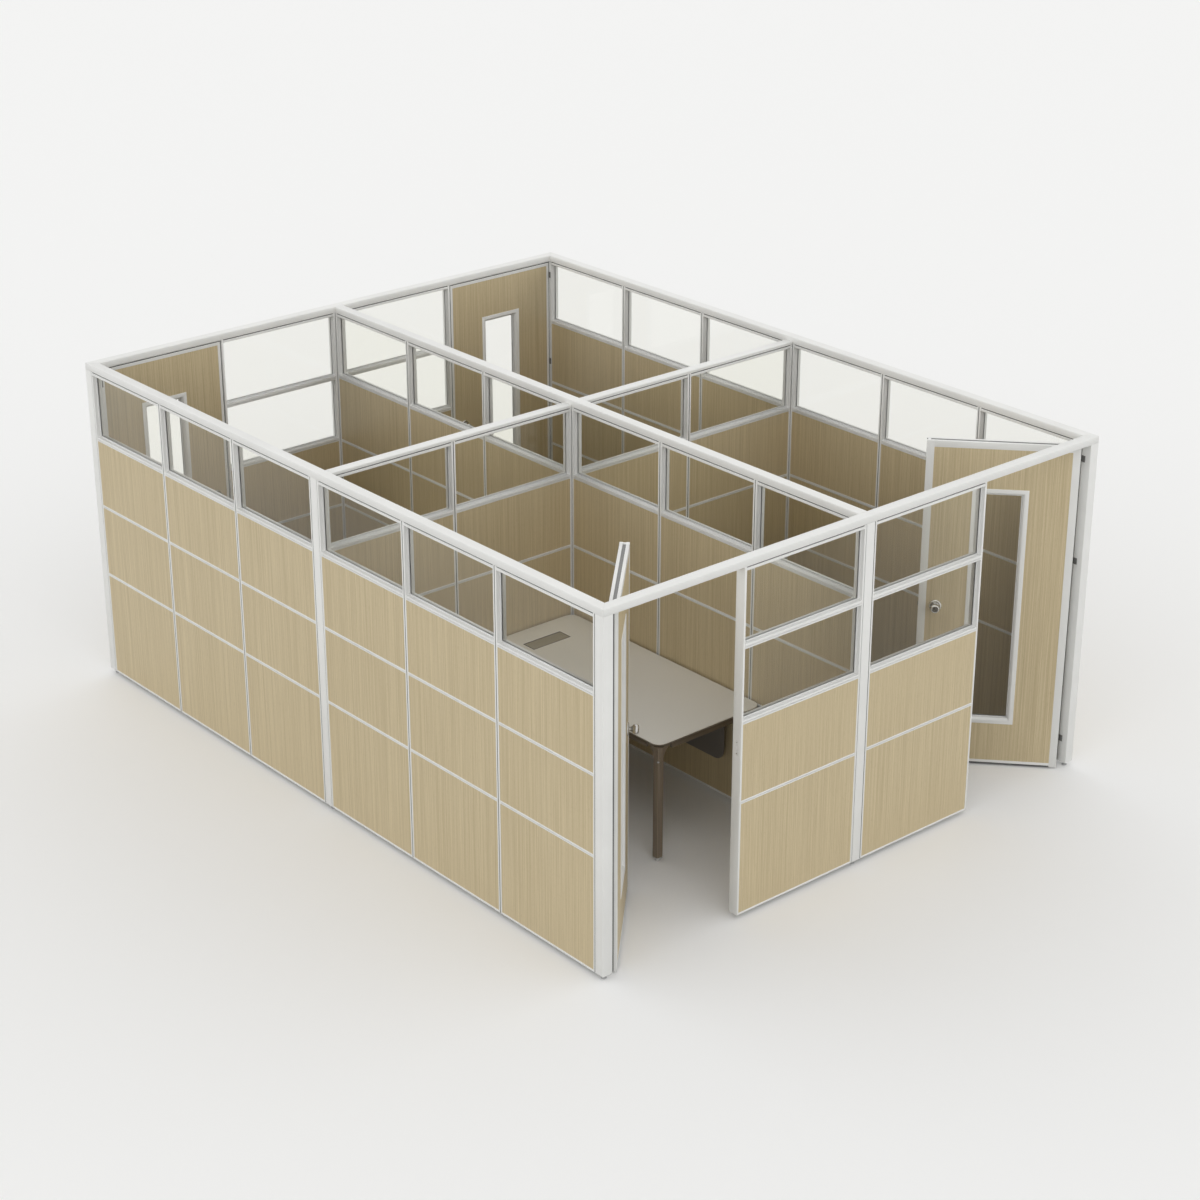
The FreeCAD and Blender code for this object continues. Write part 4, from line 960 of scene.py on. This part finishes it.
class CUBICLE_OT_doors(DressOperator, bpy.types.Operator):
    """Door leaves, their frames and windows"""

    bl_idname = "cubicle.doors"
    bl_label = "Doors"

    def execute(self, context):
        coat = context.scene.cubicle_frame
        glass = context.scene.cubicle_glass
        for door in DOORS:
            body = f"door_{door}"
            leaf, _ = door_places(door)
            self.frame(door, leaf, coat)
            softened(f"window_frame_{door}", body, ["coat"], coat.edge)
            dress(f"door_leaf_{door}", "leaf")
            dress(f"window_glass_{door}", "glass")
            pane = placed(solids(f"window_glass_{door}")[0], leaf.inverted())
            low, high = extent(pane)
            pane.free()
            strips = beads(low, high, PANE_LAP, glass.bead_line / MM, glass.bead / MM)
            piece(
                f"window_gaskets_{door}", [placed(strip, leaf) for strip in strips], body,
                ["bead", "line"], smooth=False,
            )
        return {"FINISHED"}

    def frame(self, door, leaf, coat):
        """Stiles and rails, with a channel all round painted grey as shade, rims painted dark as
        shadow and a seal below in that dark.
        """
        node = f"door_frame_{door}"
        shapes = solids(node)
        for shape in shapes:
            soften(shape, coat.edge)
            placed(shape, leaf.inverted())
            low, high = extent(shape)
            for axis, level in (
                (2, high.z - RIM_SHADE), (0, LEAF_EDGE + RIM_SHADE), (0, LATCH_EDGE - RIM_SHADE)
            ):
                cut(shape, axis, level, CUT_TOUCH)
            bmesh.ops.remove_doubles(shape, verts=shape.verts[:], dist=LEAF_TOUCH)
            for face in shape.faces:
                self.paint_door_edge_shade(face, low, high)
            placed(shape, leaf)
        # A drop seal below the leaf, in the painted shade colour so that it reads as the dark line
        # under the door
        seal = block(
            (LEAF_EDGE + SEAL_IN, LEAF_MIDDLE - SEAL_HALF, SEAL_BASE),
            (LATCH_EDGE - SEAL_IN, LEAF_MIDDLE + SEAL_HALF, SEAL_TOP), SEAL_ROUNDING, 2,
        )
        shapes.append(placed(seal, leaf))
        finished(node, shapes, f"door_{door}", ["coat", "channel", "shade"])

    def paint_door_edge_shade(self, face, low, high):
        """Painted shade: grey wherever a face lies in the channel, and else dark at the rim, as
        the shadow of the gap beside the leaf.
        """
        middle = face.calc_center_median()
        from_edge = min(middle.x - LEAF_EDGE, LATCH_EDGE - middle.x)
        rim = middle.z > max(high.z, LEAF_TALL) - RIM_SHADE or from_edge <= RIM_SHADE
        if rim and face.normal.y > TURNED:
            face.material_index = 2
        rail = high.x - low.x > STILE_WIDE
        top = high.z - CHANNEL_DEEP < middle.z < high.z - CORNER
        side = low.x + CORNER < middle.x < high.x - CORNER and abs(face.normal.z) < SIDEWAYS
        within = CHANNEL_BACK - CHANNEL_SLACK < middle.y < CHANNEL_FRONT + CHANNEL_SLACK
        if within and (top if rail else side and from_edge < CHANNEL_DEEP):
            face.material_index = 1


class CUBICLE_OT_hinges(DressOperator, bpy.types.Operator):
    """Pinned hinges, half on the post and half on the door"""

    bl_idname = "cubicle.hinges"
    bl_label = "Hinges"

    def execute(self, context):
        on_posts = []
        for door in DOORS:
            leaf, post = door_places(door)
            body = f"door_{door}"
            on_door = []
            for level in hinge_levels(door):
                on_posts += [placed(shape, post) for shape in self.post_half(level)]
                on_door += [placed(shape, leaf) for shape in self.door_half(level)]
            on_door += [placed(shape, leaf) for shape in latch_and_roses(context, door)]
            finishes = ["plate", "steel", "chrome", "shade"]
            finished(f"door_ironmongery_{door}", on_door, body, finishes)
        finished("hinge_post_leaves", on_posts, ROOT, ["plate", "steel"])
        return {"FINISHED"}

    def barrel(self, start, end):
        soft = BARREL_ROUNDING
        return turned(
            [(PIN, start), (BARREL - soft, start), (BARREL, start + soft), (BARREL, end - soft),
             (BARREL - soft, end), (PIN, end), (PIN, start)], BARREL_SIDES,
        )

    def plate(self, x, level, relief):
        """A plate on edge, beside the pin, with or without room for the other's knuckle."""
        low, third, gap = -HINGE_TALL / 2, HINGE_TALL / 6, HINGE_EDGE_GAP
        if relief:
            half = [(0, low), (0, -third), (-BARREL - KNUCKLE_ROOM, -third)]
        else:
            half = [(gap, low), (gap, PLAY - third), (0, PLAY - third)]
        half = [(HINGE_BACK, low), *half]
        outline = half + [(out, -up) for out, up in reversed(half)]
        upright = Matrix(((0, 0, 1, x), (1, 0, 0, 0), (0, 1, 0, level), (0, 0, 0, 1)))
        return placed(slab(outline, PLATE, PLATE_ROUNDING), upright)

    def post_half(self, level):
        low, high, third = level - HINGE_TALL / 2, level + HINGE_TALL / 2, HINGE_TALL / 6
        shapes = [self.barrel(low, level - third), self.barrel(level + third, high)]
        pin = PIN - PIN_SLACK
        shapes.append(turned([(0, low), (pin, low), (pin, high), (0, high)], SMALL_SIDES, 1))
        shapes.append(self.plate(-PIN_OUT, level, True))
        return shapes + screws(-PIN_OUT + PLATE, HINGE_SCREW, level, 1, HINGE_SCREW_UP, 1)

    def door_half(self, level):
        third = HINGE_TALL / 6 - PLAY
        shapes = [self.barrel(level - third, level + third)]
        shapes.append(self.plate(LEAF_EDGE - PLATE, level, False))
        return shapes + screws(LEAF_EDGE - PLATE, HINGE_SCREW, level, -1, HINGE_SCREW_UP, 1)


class CUBICLE_OT_knobs(DressOperator, bpy.types.Operator):
    """Knobs, latch bolts and strike plates"""

    bl_idname = "cubicle.knobs"
    bl_label = "Knobs and Latches"

    def execute(self, context):
        facets = context.scene.cubicle_door.facets
        for door in DOORS:
            leaf, _ = door_places(door)
            node = f"knob_{door}"
            knob = turned(KNOB_VIEW + [(r, -z) for r, z in reversed(KNOB_VIEW)], facets)
            for face in knob.faces:
                middle = face.calc_center_median()
                if abs(middle.z) > SATIN_FROM and math.hypot(middle.x, middle.y) < SATIN_WITHIN:
                    face.material_index = 1
            placed(knob, leaf @ spindle_place(door))
            finished(node, [knob], node, ["chrome", "steel"])
            bolt = f"latch_bolt_{door}"
            softened(bolt, f"latch_{door}", ["steel"], BOLT_ROUNDING)
        self.strikes()
        return {"FINISHED"}

    def strikes(self):
        shapes = []
        for plate in solids("strike_plates"):
            low, high = extent(plate)
            soften(plate, STRIKE_ROUNDING)
            shapes.append(plate)
            middle = (low + high) / 2
            x, side = (low.x, -1) if middle.x < 0 else (high.x, 1)
            at = (x, middle.y, middle.z, side)
            shapes += screws(*at, PLATE_SCREW_UP, 1, *STRIKE_SCREW, MM)
        finished("strike_plates", shapes, ROOT, ["strike", "chrome"])


class CUBICLE_OT_desks(DressOperator, bpy.types.Operator):
    """Desk tops, trays, lids, legs and modesty panels"""

    bl_idname = "cubicle.desks"
    bl_label = "Desks"

    def execute(self, context):
        desk = context.scene.cubicle_desk
        self.tops(desk)
        self.legs(desk.flutes)
        self.brackets()
        # Rails in that darkened metal: painted shade under the desk top
        softened("desk_rails", ROOT, ["rail"], RAIL_ROUNDING)
        softened("modesty_panels", ROOT, ["acrylic"], PANEL_ROUNDING)
        # Cable trays in the underside's painted shade
        softened("cable_trays", ROOT, ["under"], TRAY_ROUNDING)
        shapes = feet(GLIDE_VIEW, self.leg_boxes)
        finished("desk_glides", shapes, ROOT, ["clear"])
        self.lids()
        return {"FINISHED"}

    def tops(self, desk):
        shapes = []
        for top in solids("desk_tops"):
            sheet_from = extent(top)[1].z - desk.sheet
            soften(top, desk.rim, 3)
            cut(top, 2, sheet_from)
            for face in top.faces:
                face.normal_update()
                if face.calc_center_median().z > sheet_from and face.normal.z > -SLIGHT:
                    face.material_index = 0
                elif abs(face.normal.z) < SIDEWAYS:
                    face.material_index = 1
                # Downward bevel and underside: painted shade, slightly darker and dark
                else:
                    face.material_index = 2 if face.normal.z > -SQUARE_ON else 3
            shapes.append(top)
        finishes = ["laminate", "edge", "bevel", "under"]
        finished("desk_tops", shapes, ROOT, finishes)

    def column(self, low, high, flutes):
        """A square column with soft corners and shallow flutes."""
        half, steps = (high.x - low.x) / 2, flutes * FLUTE_STEPS
        outline = []
        for step in range(steps):
            angle = step / steps * math.tau
            square = (math.cos(angle) ** 4 + math.sin(angle) ** 4) ** -0.25
            ridge = (1 + math.cos(angle * flutes)) / 2
            reach = half * square - FLUTE * (1 - ridge ** RIDGE_POWER)
            outline.append((reach * math.cos(angle), reach * math.sin(angle)))
        shape = slab(outline, high.z - low.z)
        cut(shape, 2, SLEEVE)
        for face in shape.faces:
            middle = face.calc_center_median()
            angle = math.atan2(middle.y, middle.x)
            if middle.z < SLEEVE:
                face.material_index = 2
            # Flute bottoms painted darker as the shade in them
            elif abs(face.normal.z) < SIDEWAYS and math.cos(angle * flutes) < FLUTE_FLOOR:
                face.material_index = 1
        middle = (low + high) / 2
        return placed(shape, Matrix.Translation((middle.x, middle.y, low.z)))

    def legs(self, flutes):
        shapes = []
        self.leg_boxes = boxes("desk_legs")
        tops = [(low + high) / 2 for low, high in boxes("desk_tops")]
        for low, high in self.leg_boxes:
            shapes.append(self.column(low, high, flutes))
            middle = (low + high) / 2
            centre = min(tops, key=lambda top: (top - middle).length)
            sides = [math.copysign(1, middle[i] - centre[i]) for i in range(2)]
            away = Vector((*sides, 0))
            out = away * ((high.x - low.x) / 2 - BUTTON_IN)
            facing = away.to_track_quat("Z", "Y").to_matrix().to_4x4()
            place = Matrix.Translation((middle.x + out.x, middle.y + out.y, BUTTON_LEVEL))
            button = turned(BUTTON_VIEW, SMALL_SIDES, 2)
            shapes.append(placed(button, place @ facing @ Matrix.Scale(MM, 4)))
        finished("desk_legs", shapes, ROOT, ["metal", "groove", "clear"])

    def brackets(self):
        """Each wing sweeps from the leg out along the top in a quarter of an ellipse."""
        shapes = []
        for low, high in boxes("desk_leg_brackets"):
            size = high - low
            along = 0 if size.x > size.y else 1
            leg = min(self.leg_boxes, key=lambda box: (sum(box, Vector()) - low - high).length)
            reach, drop = size[along], size.z
            curve = []
            for step in range(SWEEP_STEPS):
                angle = step / SWEEP_STEPS * math.pi / 2
                curve.append((reach * (1 - math.cos(angle)), drop * (math.sin(angle) - 1)))
            wing = slab([(0, 0), *curve, (reach, -WING_TIP), (reach, 0)], size[1 - along])
            rim = []
            for edge in wing.edges:
                start, end = (vertex.co for vertex in edge.verts)
                level = abs(start.z - end.z) < TOUCH and max(start.y, end.y) < -MM
                corner = edge.calc_face_angle(0) > WING_CORNER
                if level and corner and (start - end).length < reach / 3:
                    rim.append(edge)
            bmesh.ops.bevel(
                wing, geom=rim, offset=WING_ROUNDING, segments=3, profile=0.5, affect="EDGES",
                clamp_overlap=True, material=-1,
            )
            from_low = (leg[0] + leg[1])[along] / 2 < low[along]
            root = low[along] if from_low else high[along]
            place = Matrix.Diagonal((0, 0, 0, 1))
            place[along][0], place[2][1], place[1 - along][2] = (1 if from_low else -1), 1, 1
            place[along][3], place[1 - along][3], place[2][3] = root, low[1 - along], high.z
            shapes.append(placed(wing, place))
        finished("desk_leg_brackets", shapes, ROOT, ["metal"])

    def lids(self):
        for door in DOORS:
            node = f"cable_lid_{door}"
            shapes = solids(node)
            low, high = extent(shapes[0])
            for shape in shapes:
                soften(shape, TRAY_ROUNDING)
            middle = (low + high) / 2
            for x in (middle.x - DOT_OFF, middle.x + DOT_OFF):
                shapes.append(standing(DOT_VIEW, SMALL_SIDES, x, middle.y, high.z, 1))
            finished(node, shapes, f"lid_{door}", ["lid", "steel"])


class CUBICLE_PT_sidebar(bpy.types.Panel):
    """Lists the steps that dress the cubicles"""

    bl_label = "Cubicle Workstation"
    bl_idname = "CUBICLE_PT_sidebar"
    bl_space_type = "VIEW_3D"
    bl_region_type = "UI"
    bl_category = "Cubicles"

    def draw(self, context):
        for group in SETTINGS:
            box = self.layout.box()
            held = getattr(context.scene, group)
            for name in held.bl_rna.properties.keys():
                if name not in ("rna_type", "name"):
                    box.prop(held, name)
        for step in STEPS:
            self.layout.operator(step.bl_idname)


SETTINGS = {
    "cubicle_stage": StageSettings,
    "cubicle_frame": FrameSettings,
    "cubicle_wood": WoodSettings,
    "cubicle_glass": GlassSettings,
    "cubicle_door": DoorSettings,
    "cubicle_desk": DeskSettings,
}
STEPS = (
    CUBICLE_OT_stage,
    CUBICLE_OT_wall_frames,
    CUBICLE_OT_posts_and_caps,
    CUBICLE_OT_wall_tiles,
    CUBICLE_OT_wall_glass,
    CUBICLE_OT_doors,
    CUBICLE_OT_hinges,
    CUBICLE_OT_knobs,
    CUBICLE_OT_desks,
)


def register():
    for name, group in SETTINGS.items():
        bpy.utils.register_class(group)
        setattr(bpy.types.Scene, name, PointerProperty(type=group))
    for step in STEPS:
        bpy.utils.register_class(step)
    bpy.utils.register_class(CUBICLE_PT_sidebar)


def unregister():
    bpy.utils.unregister_class(CUBICLE_PT_sidebar)
    for step in reversed(STEPS):
        bpy.utils.unregister_class(step)
    for name, group in SETTINGS.items():
        delattr(bpy.types.Scene, name)
        bpy.utils.unregister_class(group)


def main():
    register()
    make_finishes(bpy.context.scene)
    bpy.ops.cubicle.stage()
    bpy.ops.cubicle.wall_frames()
    bpy.ops.cubicle.posts_and_caps()
    bpy.ops.cubicle.wall_tiles()
    bpy.ops.cubicle.wall_glass()
    bpy.ops.cubicle.doors()
    bpy.ops.cubicle.hinges()
    bpy.ops.cubicle.knobs()
    bpy.ops.cubicle.desks()


if __name__ == "__main__":
    main()
